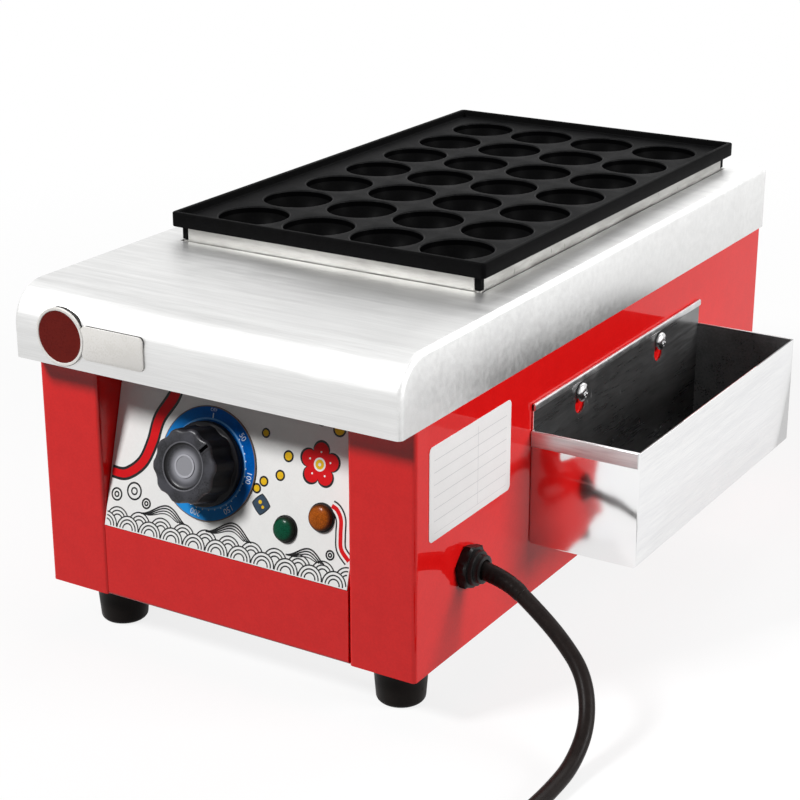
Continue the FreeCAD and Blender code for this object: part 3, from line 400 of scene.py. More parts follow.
def ringPaint(tree, place, colour):
    # blue painted lighter towards the lower left as painted light, a pale printed ring round the knob painted
    # paler as a painted highlight, and a thin bare edge
    flat, away = panelPlace(tree, place, dial["x"], dial["up"])
    x, y, _ = addNode(tree, "SeparateXYZ", {0: flat}).outputs
    colour = tinted(tree, colour, dial["paintedLightBlue"], 1.0, maths(tree, "ADD", x, y), (34.0, -38.0))
    colour = tinted(tree, colour, dial["ring"], 1.0, away, (23.4, 23.9), (24.9, 24.4))
    return tinted(tree, colour, dial["edge"], 1.0, away, (30.3, 30.6))


knobPaintedLight = {
    # painted light on the knob's face: the paler rings are painted highlights and the dark wall is painted
    # shade; name: (colour, share, edges in millimetres from the knob's middle)
    "dish": ((0.30, 0.30, 0.33), 0.85, (10.6, 6.4), (6.2, 6.6)),
    "boss": ((0.46, 0.46, 0.50), 0.9, (6.5, 6.2)),
    "bossMiddle": ((0.24, 0.24, 0.26), 0.8, (5.3, 5.0)),
    "wall": ((0.002, 0.002, 0.003), 0.95, (10.8, 11.7), (12.6, 12.3)),
    "rim": ((0.2, 0.2, 0.22), 0.5, (12.4, 12.7), (13.4, 13.1)),
}


def facePaint(tree, place, colour):
    # haze in slow patches; then painted light: the dish is painted paler from its middle outwards as a painted
    # highlight, keeps a painted dark line of shade at its wall, and the boss and rim carry painted highlights
    colour = tinted(tree, colour, (0.055, 0.055, 0.066), 0.7, noise(tree, place, 75.0, 4.0), (0.40, 0.66))
    _, away = panelPlace(tree, place, dial["x"], dial["up"])
    for tint, share, *edges in knobPaintedLight.values():
        colour = tinted(tree, colour, tint, share, away, *edges)
    return colour


def tintPaint(tree, place, colour):
    # heat has tinted the steel straw and blue in slow patches
    slow = noise(tree, place, 9.0, 3.0)
    colour = tinted(tree, colour, (0.62, 0.5, 0.34), 0.5, slow, (0.45, 0.62))
    return tinted(tree, colour, (0.3, 0.34, 0.46), 0.4, slow, (0.6, 0.72))


def fibrePaint(tree, place, colour):
    return tinted(tree, colour, (0.5, 0.48, 0.43), 0.5, cells(tree, place, 320.0), (0.2, 0.6))


label = {"middle": (-168.3, 127.75), "half": (42.3, 25.75), "corner": 3.0, "thick": 0.25, "edge": 0.08,
         "row": 6.6, "low": 106.0, "split": -161.3, "frame": (4.6, 3.8), "ink": (0.28, 0.28, 0.3)}


def labelPaint(tree, place, colour):
    # faint ruled rows with one upright rule, inside a plain border, all without words
    _, y, z = addNode(tree, "SeparateXYZ", {0: vectorMaths(tree, "MULTIPLY", place, [1 / mm] * 3)[0]}).outputs

    def away(value, middle):
        return maths(tree, "ABSOLUTE", maths(tree, "SUBTRACT", value, middle))

    row = maths(tree, "PINGPONG", maths(tree, "SUBTRACT", z, label["low"]), label["row"] / 2)
    rules = [ramp(tree, line, 0.22, 0.08) for line in (row, away(y, label["split"] + bodyCentre[1]))]
    (middleY, middleZ), (halfY, halfZ), (borderY, borderZ) = label["middle"], label["half"], label["frame"]
    inside = times(tree, ramp(tree, away(y, middleY + bodyCentre[1]), halfY - borderY, halfY - borderY - 0.3),
                   ramp(tree, away(z, middleZ), halfZ - borderZ, halfZ - borderZ - 0.3))
    lines = times(tree, maths(tree, "MAXIMUM", *rules), inside)
    return mixColour(tree, times(tree, lines, 0.55), colour, label["ink"])


lamps = {
    "green": {"x": 38.0, "up": 24.2, "radius": 6.5, "tones": ((0.001, 0.088, 0.042), (0.001, 0.074, 0.034))},
    "amber": {"x": 59.0, "up": 34.8, "radius": 7.0, "tones": ((0.46, 0.105, 0.006), (0.39, 0.085, 0.005))},
}


def lensPaint(lamp):
    # moulded prisms break the colour into small cells, and the lens is painted darker towards its edge as
    # painted shade round the rim
    def paint(tree, place, colour):
        colour = tinted(tree, colour, (0.0, 0.0, 0.0), 0.35, cells(tree, place, 1500.0), (0.2, 0.7))
        _, away = panelPlace(tree, place, lamp["x"], lamp["up"])
        # thin and thick mark where the painted shade begins and where it is full, near the lens's rim
        thin, thick = 0.68 * lamp["radius"], 0.98 * lamp["radius"]
        return tinted(tree, colour, (0.01, 0.005, 0.004), 0.85, away, (thin, thick))
    return paint


makeFinish("redEnamel", (0.76, 0.0085, 0.008), (0.70, 0.006, 0.006), slot="red_paint", grain=700.0,
           roughness=0.32, spread=0.05, bump=0.07, depth=0.00012, smear=0.05, scratches=0.05, dusty=0.02,
           specular=0.01, coat=(0.5, 0.025))
makeFinish("brushedStainless", (0.775, 0.775, 0.77), (0.70, 0.70, 0.695), slot="cover_steel", metallic=1.0,
           stretch=(0.02, 1, 1), grain=2200.0, roughness=0.44, bump=0.06, smear=0.03, depth=0.00006, dusty=0.02,
           scratches=0.04, shader={"Anisotropic": 0.35})
makeFinish("heaterBoxSteel", (0.44, 0.435, 0.42), (0.30, 0.295, 0.28), metallic=1.0, stretch=(0.2, 0.2, 1),
           grain=260.0, roughness=0.46, spread=0.16, bump=0.12, smear=0.12, dusty=0.1, scratches=0.4)
makeFinish("brightStainless", (0.88, 0.88, 0.88), (0.80, 0.80, 0.81), slot="tray_steel", metallic=1.0,
           stretch=(1, 0.04, 1), grain=1300.0, roughness=0.14, spread=0.04, bump=0.02, smear=0.05,
           depth=0.00004, dusty=0.03, scratches=0.12)
makeFinish("mirrorStainless", (0.90, 0.90, 0.90), (0.87, 0.87, 0.88), metallic=1.0, grain=42.0, detail=1.0,
           roughness=0.10, spread=0.03, bump=0.5, smear=0.05, depth=0.0007, dusty=0.0, scratches=0.1)
# inside the tray: the steel painted dark, as painted shade and a painted dark reflection in the tray's hollow;
# scratches show in its roughness
makeFinish("trayInsidePaintedShade", (0.21, 0.21, 0.212), (0.15, 0.15, 0.151), metallic=0.85, stretch=(1, 0.1, 1),
           grain=700.0, roughness=0.30, bump=0.02, smear=0.1, depth=0.00004, dust=(0.16, 0.16, 0.16),
           scratches=0.25)
makeFinish("foldedHem", (0.66, 0.66, 0.66), (0.52, 0.52, 0.53), metallic=1.0, stretch=(0.05, 1, 1),
           grain=1200.0, roughness=0.34, spread=0.10, bump=0.06, depth=0.00006, dusty=0.03)
makeFinish("zincSheet", (0.55, 0.55, 0.56), (0.4, 0.41, 0.43), slot="plain_steel", metallic=1.0, grain=160.0,
           detail=1.0, roughness=0.42, spread=0.2, bump=0.08, dusty=0.3)
makeFinish("chromedScrew", (0.78, 0.78, 0.78), (0.68, 0.68, 0.69), metallic=1.0, grain=1200.0, roughness=0.16,
           spread=0.06, bump=0.04, scratches=0.3, dusty=0.05)
makeFinish("zincFastener", (0.6, 0.6, 0.62), (0.45, 0.46, 0.5), slot="fastener", metallic=1.0, grain=500.0,
           roughness=0.35, spread=0.15, bump=0.1)
makeFinish("copperTube", (0.85, 0.42, 0.27), (0.6, 0.26, 0.16), slot="copper", metallic=1.0, grain=300.0,
           roughness=0.33, spread=0.15)
makeFinish("platedBrass", (0.72, 0.6, 0.34), (0.6, 0.48, 0.26), slot="brass", metallic=1.0, roughness=0.25,
           spread=0.1)
makeFinish("oxidisedTube", (0.2, 0.21, 0.2), (0.1, 0.1, 0.1), slot="element_tube", paint=tintPaint,
           metallic=1.0, grain=600.0, roughness=0.45, spread=0.15)

castLook = {"spread": 0.10, "bump": 0.28, "depth": 0.00014, "dust": (0.05, 0.05, 0.05), "scratches": 0.05}
makeFinish("seasonedCasting", (0.010, 0.010, 0.0104), (0.006, 0.006, 0.0063), slot="cast_plate", **castLook,
           grain=1100.0, dusty=0.04, specular=0.012)
# the rim and the underside: the same casting painted darker, as painted shade
makeFinish("castRimPaintedShade", (0.0045, 0.0045, 0.0047), (0.003, 0.003, 0.0031), **castLook, grain=1100.0,
           roughness=0.42, smear=0.05, dusty=0.03, specular=0.01)
# the cups' eased mouths: rubbed wear and a painted sheen, a little lighter than the floor
makeFinish("rubbedCupEdgeAndPaintedSheen", (0.014, 0.014, 0.0145), (0.007, 0.007, 0.0073), roughness=0.34, spread=0.10,
           dusty=0.0, specular=0.02)
# inside the cups: the same casting painted near-black, as painted shade in the hollows
makeFinish("castCupPaintedShade", (0.0012, 0.0012, 0.0014), (0.0008, 0.0008, 0.0009), grain=1300.0, roughness=0.36,
           spread=0.10, smear=0.08, dusty=0.0, scratches=0.05, specular=0.003)
# the pointer channel's floor: painted near-black as painted shade
makeFinish("notchPaintedShade", (0.0012, 0.0012, 0.0014), (0.0008, 0.0008, 0.0009), roughness=0.6, dusty=0.0,
           scratches=0.0, specular=0.0)

makeFinish("ceramicFibre", (0.82, 0.8, 0.76), (0.7, 0.68, 0.62), slot="fibre_mat", paint=fibrePaint,
           grain=500.0, roughness=0.95, spread=0.0, bump=0.8, depth=0.0004, shader={"Sheen Weight": 0.2})
makeFinish("printedDisc", (0.0006, 0.110, 0.45), (0.0005, 0.080, 0.35), slot="dial_blue", paint=ringPaint,
           roughness=0.3, spread=0.06, bump=0.04, dusty=0.02, scratches=0.1, specular=0.06)
makeFinish("darkPhenolic", (0.010, 0.010, 0.0125), (0.0065, 0.0065, 0.008), slot="knob_plastic", grain=1500.0,
           roughness=0.34, spread=0.12, bump=0.25, smear=0.1, dusty=0.03, dust=(0.2, 0.2, 0.2), scratches=0.05,
           specular=0.11)
# the knob's face: the same plastic painted lighter than the side, as painted light where the face meets the
# lamps; rubbed wear shows only in its roughness
makeFinish("rubbedPhenolicPaintedLit", (0.030, 0.030, 0.036), (0.008, 0.008, 0.010), paint=facePaint, detail=5.0,
           roughness=0.30, spread=0.14, bump=0.35, depth=0.00012, smear=0.12, dusty=0.0, scratches=0.15,
           specular=0.3)
for name, lamp in lamps.items():
    makeFinish(name + "Lens", *lamp["tones"], slot="lens_" + name, paint=lensPaint(lamp), roughness=0.25,
               bump=0.05, dusty=0.02, specular=0.04, coat=(0.1, 0.12))
makeFinish("blackNylon", (0.012, 0.011, 0.011), (0.008, 0.0075, 0.0075), slot="black_plastic", grain=1300.0,
           roughness=0.34, spread=0.12, bump=0.25, dusty=0.05, dust=(0.12, 0.115, 0.11), specular=0.14)
makeFinish("ivoryThermoset", (0.74, 0.71, 0.62), (0.66, 0.63, 0.54), slot="ivory_plastic", roughness=0.45)
makeFinish("blackRubber", (0.014, 0.011, 0.010), (0.009, 0.0075, 0.007), slot="foot_rubber", grain=1200.0,
           roughness=0.45, spread=0.14, bump=0.35, dust=(0.12, 0.11, 0.10), specular=0.06)
makeFinish("cordRubber", (0.015, 0.011, 0.010), (0.010, 0.0075, 0.007), slot="cord_rubber", grain=1500.0,
           roughness=0.36, spread=0.12, bump=0.25, dusty=0.05, dust=(0.12, 0.11, 0.10), specular=0.07)
makeFinish("foamPad", (0.02, 0.018, 0.017), (0.012, 0.011, 0.01), roughness=0.9, bump=0.5, grain=1500.0)

makeFinish("whitePrint", (0.87, 0.865, 0.85), (0.84, 0.835, 0.82), slot="panel_print", roughness=0.34,
           spread=0.05, bump=0.03, dusty=0.02, scratches=0.05, specular=0.12)
makeFinish("ruledLabel", (0.88, 0.86, 0.855), (0.85, 0.83, 0.825), paint=labelPaint, grain=700.0,
           roughness=0.35, spread=0.05, bump=0.03, scratches=0.1)
makeFinish("badgeRed", (0.155, 0.014, 0.010), (0.12, 0.010, 0.008), roughness=0.28, bump=0.04, specular=0.05)
makeFinish("badgeLight", (0.84, 0.82, 0.79), (0.78, 0.76, 0.72), roughness=0.28, bump=0.04, coat=(0.3, 0.1))
inkTones = {
    "black": ((0.012, 0.012, 0.014), (0.02, 0.02, 0.02)), "red": ((0.68, 0.008, 0.012), (0.6, 0.006, 0.01)),
    "yellow": ((0.85, 0.55, 0.02), (0.75, 0.42, 0.01)), "slate": ((0.045, 0.075, 0.11), (0.03, 0.05, 0.08)),
    "pale": (dial["ink"], (0.6, 0.68, 0.78)),
}
for name, tones in inkTones.items():
    makeFinish(name + "Ink", *tones, grain=2500.0, bump=0.05, specular=0.15)

for part in frame["record"]["subparts"]:
    for place in nodes[part["node"]].material_slots:
        place.material = slotFinishes[part["material_slot"]]
print("finishes:", len(bpy.data.materials))

view = {"place": (0.53963, -0.96712, 0.50609), "tilt": 69.778, "turn": 31.499, "lens": 87.34, "sensor": 36.0,
        "near": 0.02}
lights = {
    # name: (place, aimed at, width, height, watts)
    "frontWindow": ((-1.0, -1.9, 1.95), (0, 0, 0.12), 0.55, 0.5, 75.0),
    "rearPanel": ((0.3, 1.7, 1.9), (0, 0, 0.12), 1.6, 1.4, 17.0),
    "sideWindow": ((2.3, 0.45, 0.9), (0, 0, 0.12), 1.2, 1.0, 51.0),
}
# to the camera and to mirrored rays the floor is this share of plain white near the object and all white away
# from it; to the light that it returns it is a quiet grey
studio = {"sky": 0.025, "skyColour": (0.97, 0.985, 1.0, 1), "mirrored": 0.93, "floor": (0.08, 0.08, 0.0792),
          "floorShade": 0.985, "floorSeen": (0.94, 0.94, 0.94), "floorWhite": 0.82, "fade": (0.35, 1.1),
          "halfFloor": 6.0}


def makeCamera():
    data = bpy.data.cameras.new("camera")
    data.lens, data.sensor_width, data.clip_start = view["lens"], view["sensor"], view["near"]
    camera = addObject("camera", data)
    camera.location = view["place"]
    camera.rotation_euler = (math.radians(view["tilt"]), 0, math.radians(view["turn"]))
    bpy.context.scene.camera = camera


def makeLight(name):
    place, aim, width, height, watts = lights[name]
    data = bpy.data.lights.new(name, "AREA")
    data.shape, data.size, data.size_y, data.energy = "RECTANGLE", width, height, watts
    lamp = addObject(name, data)
    lamp.location = place
    x, y, z = np.array(aim) - np.array(place)
    lamp.rotation_euler = (math.atan2(math.hypot(x, y), -z), 0, math.atan2(y, x) - math.pi / 2)


def seenRays(tree, *kinds):
    # 1 for rays of the named kinds, else 0
    rays = addNode(tree, "LightPath").outputs
    seen = rays["Is Camera Ray"]
    for kind in kinds:
        seen = maths(tree, "MAXIMUM", seen, rays["Is %s Ray" % kind])
    return rays["Is Camera Ray"], seen


def makeSky():
    world = bpy.data.worlds.new("studio")
    world.use_nodes = True
    tree = world.node_tree
    tree.nodes.clear()
    direct, seen = seenRays(tree, "Glossy")
    level = maths(tree, "MAXIMUM", direct, studio["mirrored"])
    soft = addNode(tree, "Background", {"Color": studio["skyColour"], "Strength": studio["sky"]}).outputs[0]
    white = addNode(tree, "Background", {"Color": (1, 1, 1, 1), "Strength": level}).outputs[0]
    mixed = addNode(tree, "MixShader", {0: seen, 1: soft, 2: white}).outputs[0]
    addNode(tree, "OutputWorld", {"Surface": mixed})
    bpy.context.scene.world = world


def makeFloor():
    grey = studio["floor"]
    material = makeFinish("paleFloor", grey, tuple(studio["floorShade"] * c for c in grey), grain=60.0,
                          roughness=0.6, bump=0.0, dusty=0.0, smear=0.0, scratches=0.0, specular=0.2)
    tree = material.node_tree
    shader, end = (next(n for n in tree.nodes if n.type == kind)
                   for kind in ("BSDF_PRINCIPLED", "OUTPUT_MATERIAL"))
    away = vectorMaths(tree, "LENGTH", addNode(tree, "TexCoord").outputs["Object"])[1]
    _, seen = seenRays(tree, "Glossy", "Transmission")
    colour = shader.inputs["Base Color"]
    tree.links.new(mixColour(tree, seen, colour.links[0].from_socket, studio["floorSeen"]), colour)
    share = times(tree, ramp(tree, away, *studio["fade"], studio["floorWhite"]), seen)
    glow = addNode(tree, "Emission", {"Color": (1, 1, 1, 1), "Strength": 1.0}).outputs[0]
    mixed = addNode(tree, "MixShader", {0: share, 1: shader.outputs[0], 2: glow}).outputs[0]
    tree.links.new(mixed, end.inputs["Surface"])
    mesh = bpy.data.meshes.new("floor")
    far = studio["halfFloor"]
    points, faces = gridPatch(withHeight(np.array([[(-far, -far), (far, -far)], [(-far, far), (far, far)]]), 0))
    mesh.from_pydata(points.tolist(), [], faces)
    mesh.materials.append(material)
    addObject("floor", mesh)


makeCamera()
for lightName in lights:
    makeLight(lightName)
makeSky()
makeFloor()
bpy.context.scene.view_settings.view_transform = "Standard"
print("camera, lights and floor set")


cover = {"halfX": 121.4, "rear": 224.9, "edge": 3.0, "sheet": 1.2, "hemTo": -223.7,
         "opening": (99.0, -122.1, 206.1)}


def makeCover():
    # the outline of the side view is carried across the cover; at each side it rolls over into the side wall,
    # every point moving inwards along the outline's normal by the edge radius times one minus the cosine
    rear, edge, half = cover["rear"], cover["edge"], cover["halfX"]
    openX, openFront, openRear = cover["opening"]
    noseTurn, rearTurn = np.linspace(180, 90, 19)[1:], np.linspace(90, 0, 7)
    along = [(coverFront, coverLow), (coverFront, coverTop - coverNose)]
    along += arcAt((coverFront + coverNose, coverTop - coverNose), coverNose, noseTurn)
    along += [(openFront, coverTop), (openRear, coverTop)]
    along = np.array(along + arcAt((rear - edge, coverTop - edge), edge, rearTurn) + [(rear, coverLow)])
    inwards = -edge * polar(1.0, np.radians(np.concatenate([[180, 180], noseTurn, [90, 90], rearTurn, [0]])))
    columns = [-half + edge, -openX, openX, half - edge]
    hemLine = [(cover["hemTo"], coverLow), (coverFront, coverLow)]

    def opening(x, y, z):
        return (abs(x) < openX) & (y > openFront) & (y < openRear) & (z > coverTop - 0.1)

    patches = [cutPatch(gridPatch(sweep(along, columns, 0)), opening), gridPatch(sweep(hemLine, columns, 0))]
    roll = np.radians(np.linspace(0, 90, 7))
    wallTop = (along + inwards)[1:-1]
    wall = np.stack([wallTop, np.c_[wallTop[:, 0], np.full(len(wallTop), coverLow)]], 1)
    for side in (-1, 1):
        rolled = along[:, None] + inwards[:, None] * (1 - np.cos(roll))[:, None]
        patches.append(gridPatch(withHeight(rolled, side * (half - edge + edge * np.sin(roll)), 0)))
        patches.append(gridPatch(withHeight(wall, side * half, 0)))
    makePiece("steelCover", patches, "cover_steel", wall=cover["sheet"], bevel=0.25, crease=30,
              replaces=["top_cover"])


griddle = {"halfX": 102.4, "halfY": 167.5, "middleY": 42.0, "floor": 219.7, "top": 224.2, "under": 215.6,
           "rim": 3.2, "rimFoot": 1.1, "rimInner": 0.7, "rimOuter": 0.8, "rimBase": 0.7, "footCorner": 1.4,
           "innerCorner": 1.6, "corner": 2.4, "columns": 4, "rows": 7, "pitch": 45.0, "mouth": 20.5,
           "depth": 19.0, "wall": 2.6, "edge": 0.9, "lug": (3.4, 2.2), "lugFoot": 208.0}
heaterBox = {"halfX": 97.8, "halfY": 162.9, "low": 153.6, "high": 215.6, "sheet": 1.0, "bend": 1.4,
             "eased": 0.4, "notch": 3.8, "notchFoot": 207.4}


def cellRays(step, half):
    # rays at even angles from the middle of a square cell, and the points where they meet its edges
    ray = polar(1.0, np.radians(np.arange(0, 360, step)))
    return ray, ray * half / np.abs(ray).max(1, keepdims=True)


def cellShares(count):
    # the edge of a row of square cells, divided where the cells' rays meet it
    tangents = np.tan(np.radians(np.linspace(-45, 45, 13)))
    edges = [(2 * i + 1 - count + tangents) / count for i in range(count)]
    return np.unique(np.round(np.concatenate(edges), 9))[1:-1]


def makeGriddle():
    # a cup is a ball sunk in the floor, its mouth eased by a small arc; each sits in a square cell whose
    # outer points lie on the square where the cup's own rays meet it, so neighbouring cells share points
    g = griddle
    half, floor, top, under, edge = g["pitch"] / 2, g["floor"], g["top"], g["under"], g["edge"]
    ball = (g["mouth"] ** 2 + g["depth"] ** 2) / (2 * g["depth"])
    centre, outer = floor - g["depth"] + ball, ball + g["wall"]
    steep = math.acos((ball - g["depth"] + edge) / ball)
    bowl = arcAt((ball * math.sin(steep) + edge, floor - edge), edge, [90, 112, 135, 158, 180])
    bowl += [(ball * math.sin(a), centre - ball * math.cos(a)) for a in np.linspace(steep, 0, 12)[1:]]
    outside = [(min(math.sqrt(outer ** 2 - (centre - z) ** 2), half - 0.5), z)
               for z in np.linspace(under, centre - outer, 9)[:-1]] + [(0.0, centre - outer)]
    ray, square = cellRays(7.5, half)
    patches = []
    for profile, height in ((bowl, floor), (outside, under)):
        cell = np.stack([withHeight(square, height)] + [withHeight(ray * radius, z) for radius, z in profile])
        for column in range(g["columns"]):
            for row in range(g["rows"]):
                x, y = (2 * column + 1 - g["columns"]) * half, (2 * row + 1 - g["rows"]) * half
                patches.append(tubePatch(cell + [x, y + g["middleY"], 0]))

    # the rim's section: arcs of (distance from the plate's edge, height), each with its corner radius
    rim, foot, inner, lip, base = -g["rim"], g["rimFoot"], g["rimInner"], g["rimOuter"], g["rimBase"]
    section = [(g["footCorner"], arc((rim - foot, floor + foot), foot, -90, 0, 4)),
               (g["innerCorner"], arc((rim + 0.1 + inner, top - inner), inner, 180, 90, 4)),
               (g["corner"], arc((-lip, top - lip), lip, 90, 0, 4)),
               (g["corner"], arc((-base, under + base), base, 0, -90, 3))]
    loops = [(g["halfX"] + out, g["halfY"] + out, corner, z) for corner, run in section for out, z in run]
    cellsX, cellsY = g["columns"] * half, g["rows"] * half
    loops = [(cellsX, cellsY, 0, floor)] + loops + [(cellsX, cellsY, 0, under)]
    shares = cellShares(g["columns"]), cellShares(g["rows"])
    border = np.stack([roundedLoop(*loop, 6, *shares) for loop in loops])
    patches.append(tubePatch(border + [0, g["middleY"], 0]))

    # corner lugs: an L outline of six corners, from inside the plate down to the heater box's notches
    leg, thick = g["lug"]
    outline = np.array([(0, 0), (leg, 0), (leg, thick), (thick, thick), (thick, leg), (0, leg)])
    for way in ((-1, -1), (-1, 1), (1, -1), (1, 1)):
        loop = ([heaterBox["halfX"], heaterBox["halfY"]] - outline) * way + [0, g["middleY"]]
        patches += barPatches([withHeight(loop, z) for z in (under + 0.4, g["lugFoot"])])

    def paint(middles):
        # the floor is plain casting; the cups are painted near-black as painted shade, their eased edges a
        # little lighter as rubbed wear and painted sheen, and the rim and the underside are painted darker as
        # painted shade
        x, y, z = (middles - bodyCentre).T
        onRim = (abs(x) >= g["halfX"] + rim - 0.6) | (abs(y - g["middleY"]) >= g["halfY"] + rim - 0.6)
        return np.select([onRim | (z <= under), z > floor - 0.02, z > floor - edge], [1, 0, 3], 2)

    makePiece("castGriddle", patches, "cast_plate", "seasonedCasting", "castRimPaintedShade", "castCupPaintedShade",
              "rubbedCupEdgeAndPaintedSheen", body="griddle", crease=40, paint=paint, replaces=["griddle_plate"])


def makeHeaterBox():
    # walls as loops carried up, less the faces of the four corner notches, and a floor
    h = heaterBox
    halfX, halfY, low, bend, eased = h["halfX"], h["halfY"], h["low"], h["bend"], h["eased"]
    notchX, notchY = halfX - h["notch"], halfY - h["notch"]
    shareX, shareY = notchX / (halfX - bend), notchY / (halfY - bend)
    loops = [(bend, 0.0, low), (eased, bend, low + eased)]
    loops += [(0.0, bend, z) for z in (low + bend, h["notchFoot"], h["high"])]
    rows = [roundedLoop(halfX - inset, halfY - inset, radius, z, 5, (-shareX, shareX), (-shareY, shareY))
            for inset, radius, z in loops]

    def notches(x, y, z):
        return (abs(x) > notchX) & (abs(y) > notchY) & (z > h["notchFoot"])

    patches = [(points + [0, griddle["middleY"], 0], faces) for points, faces in
               (cutPatch(tubePatch(np.stack(rows)), notches), capPatch(rows[0][::-1]))]
    makePiece("heaterBoxSheet", patches, "cover_steel", "heaterBoxSteel", crease=30, wall=h["sheet"],
              bevel=0.15, replaces=["heater_box"])


tray = {"x": (120.3, 184.8), "y": (-102.0, 121.0), "low": 61.0, "high": 127.5, "back": 143.0, "bend": 1.6,
        "sheet": 1.0, "keys": (-45.5, 60.7), "cell": 12.0, "entry": 6.1, "entryDrop": 1.5, "slot": 2.75,
        "slotRise": 5.1}
# hems: half width, half height, corner radius, steps, and how far the middle lies from the sheet's outer face
endHem = {"section": (0.55, 4.5, 0.5, 4), "out": 0.45, "from": 0.2, "to": 183.6}
backHem = {"section": (0.95, 2.0, 0.9, 5), "out": 1.05}


def keyholeRadius(turn):
    # from a point in the keyhole to its outline: the larger of the entry circle and the slot with its round end
    drop, entry, slot, rise = tray["entryDrop"], tray["entry"], tray["slot"], tray["slotRise"]
    sine, cosine = np.sin(turn), np.cos(turn)
    circle = -drop * sine + np.sqrt(entry ** 2 - (drop * cosine) ** 2)
    side = slot / np.maximum(abs(cosine), 1e-6)
    cap = rise * sine + np.sqrt(np.maximum(slot ** 2 - (rise * cosine) ** 2, 0))
    stadium = np.where(side * sine < rise, side, cap)
    return np.where(sine > 0.2, np.maximum(circle, stadium), circle)


def hemPatches(section, place, top, ends, axis):
    # a thin round-cornered section carried along an axis, hung from a height
    halfWide, halfTall, radius, steps = section
    loop = roundedLoop(halfWide, halfTall, radius, steps=steps)[:, :2] + [place, top - halfTall]
    return barPatches(sweep(loop, ends, axis).swapaxes(0, 1))


def makeTray():
    # one skin: the folded section carried along Y and the two ends. A keyhole sits in a square cell of the
    # back, joined to it by rays from its middle; the skin's grid has lines where those rays meet the cell
    t = tray
    (x0, x1), (y0, y1) = t["x"], t["y"]
    low, high, back, bend, cell = t["low"], t["high"], t["back"], t["bend"], t["cell"]
    quarter, step = np.array([0, 22, 45, 68, 90]), 5
    spread = cell * np.tan(np.radians(np.arange(-45, 46, step)))
    line = [(x0, back)] + [(x0, high - drop) for drop in spread]
    line += arcAt((x0 + bend, low + bend), bend, 180 + quarter)
    line = np.array(line + arcAt((x1 - bend, low + bend), bend, 270 + quarter) + [(x1, high)])
    cuts = np.sort(np.concatenate([[y0, y1], *[y + spread for y in t["keys"]]]))

    def keyCells(x, y, z):
        atKey = np.any([abs(y - key) < cell for key in t["keys"]], 0)
        return atKey & (x < x0 + 0.01) & (abs(z - high) < cell)

    patches = [cutPatch(gridPatch(sweep(line, cuts, 1)), keyCells)]
    ray, square = cellRays(step, cell)
    hole = ray * keyholeRadius(np.radians(np.arange(0, 360, step)))[:, None]
    patches += [tubePatch(withHeight(np.stack([square, hole]) + [y, high], x0, 0)) for y in t["keys"]]
    patches += [capPatch(withHeight(line[line[:, 1] < high + 0.01], y, 1)) for y in (y0, y1)]

    def paint(middles):
        # the inside, below the back's top, takes the darkened steel as painted shade; the ends below the hems
        # take the mirror-bright steel
        x, y, z = (middles - bodyCentre).T
        inside = (x > x0 + 0.5) & (x < x1 - 0.5) & (y > y0 + 0.5) & (y < y1 - 0.5) & (z > low + 0.5)
        onEnd = (y < y0 + 0.05) | (y > y1 - 0.05)
        return np.select([inside & (z < back - 1), onEnd & (z < high - 0.1)], [1, 2], 0)

    makePiece("foldedTray", patches, "tray_steel", "brightStainless", "trayInsidePaintedShade", "mirrorStainless",
              body="tray", crease=30, wall=t["sheet"], bevel=0.12, paint=paint, replaces=["side_tray"])
    # hems folded over at the two ends and along the top of the back
    hems = hemPatches(backHem["section"], x0 + backHem["out"], back, (y0, y1), 1)
    for y in (y0 - endHem["out"], y1 + endHem["out"]):
        hems += hemPatches(endHem["section"], y, high, (x0 + endHem["from"], endHem["to"]), 0)
    makePiece("trayHems", hems, "tray_steel", "foldedHem", body="tray", crease=40)


knob = {"low": 2.4, "top": 23.9, "crown": 0.4, "hollow": (17.0, 9.0), "skirt": 23.0, "skirtTop": 6.4,
        "grip": 21.0, "gripEdge": 1.8, "lobes": 10, "scallop": 9.0, "scallopDepth": 1.3, "softness": 0.4,
        "recess": 12.3, "recessDepth": 1.7, "faceDepth": 2.6, "turn": 45.0}


def gripRadius(angle):
    # a circle cut by a ring of smaller circles; a soft minimum joins the two radii, and a little is given back
    grip, soft = knob["grip"], knob["softness"]
    reach, pitch = grip - knob["scallopDepth"] + knob["scallop"], 2 * np.pi / knob["lobes"]
    fromCut = np.mod(angle - math.radians(90 - knob["turn"]), pitch) - pitch / 2
    inside = np.maximum(knob["scallop"] ** 2 - (reach * np.sin(fromCut)) ** 2, 0)
    cut = np.where(inside > 0, reach * np.cos(fromCut) - np.sqrt(inside), grip + 4)
    return -soft * np.log(np.exp(-grip / soft) + np.exp(-cut / soft)) + 0.05


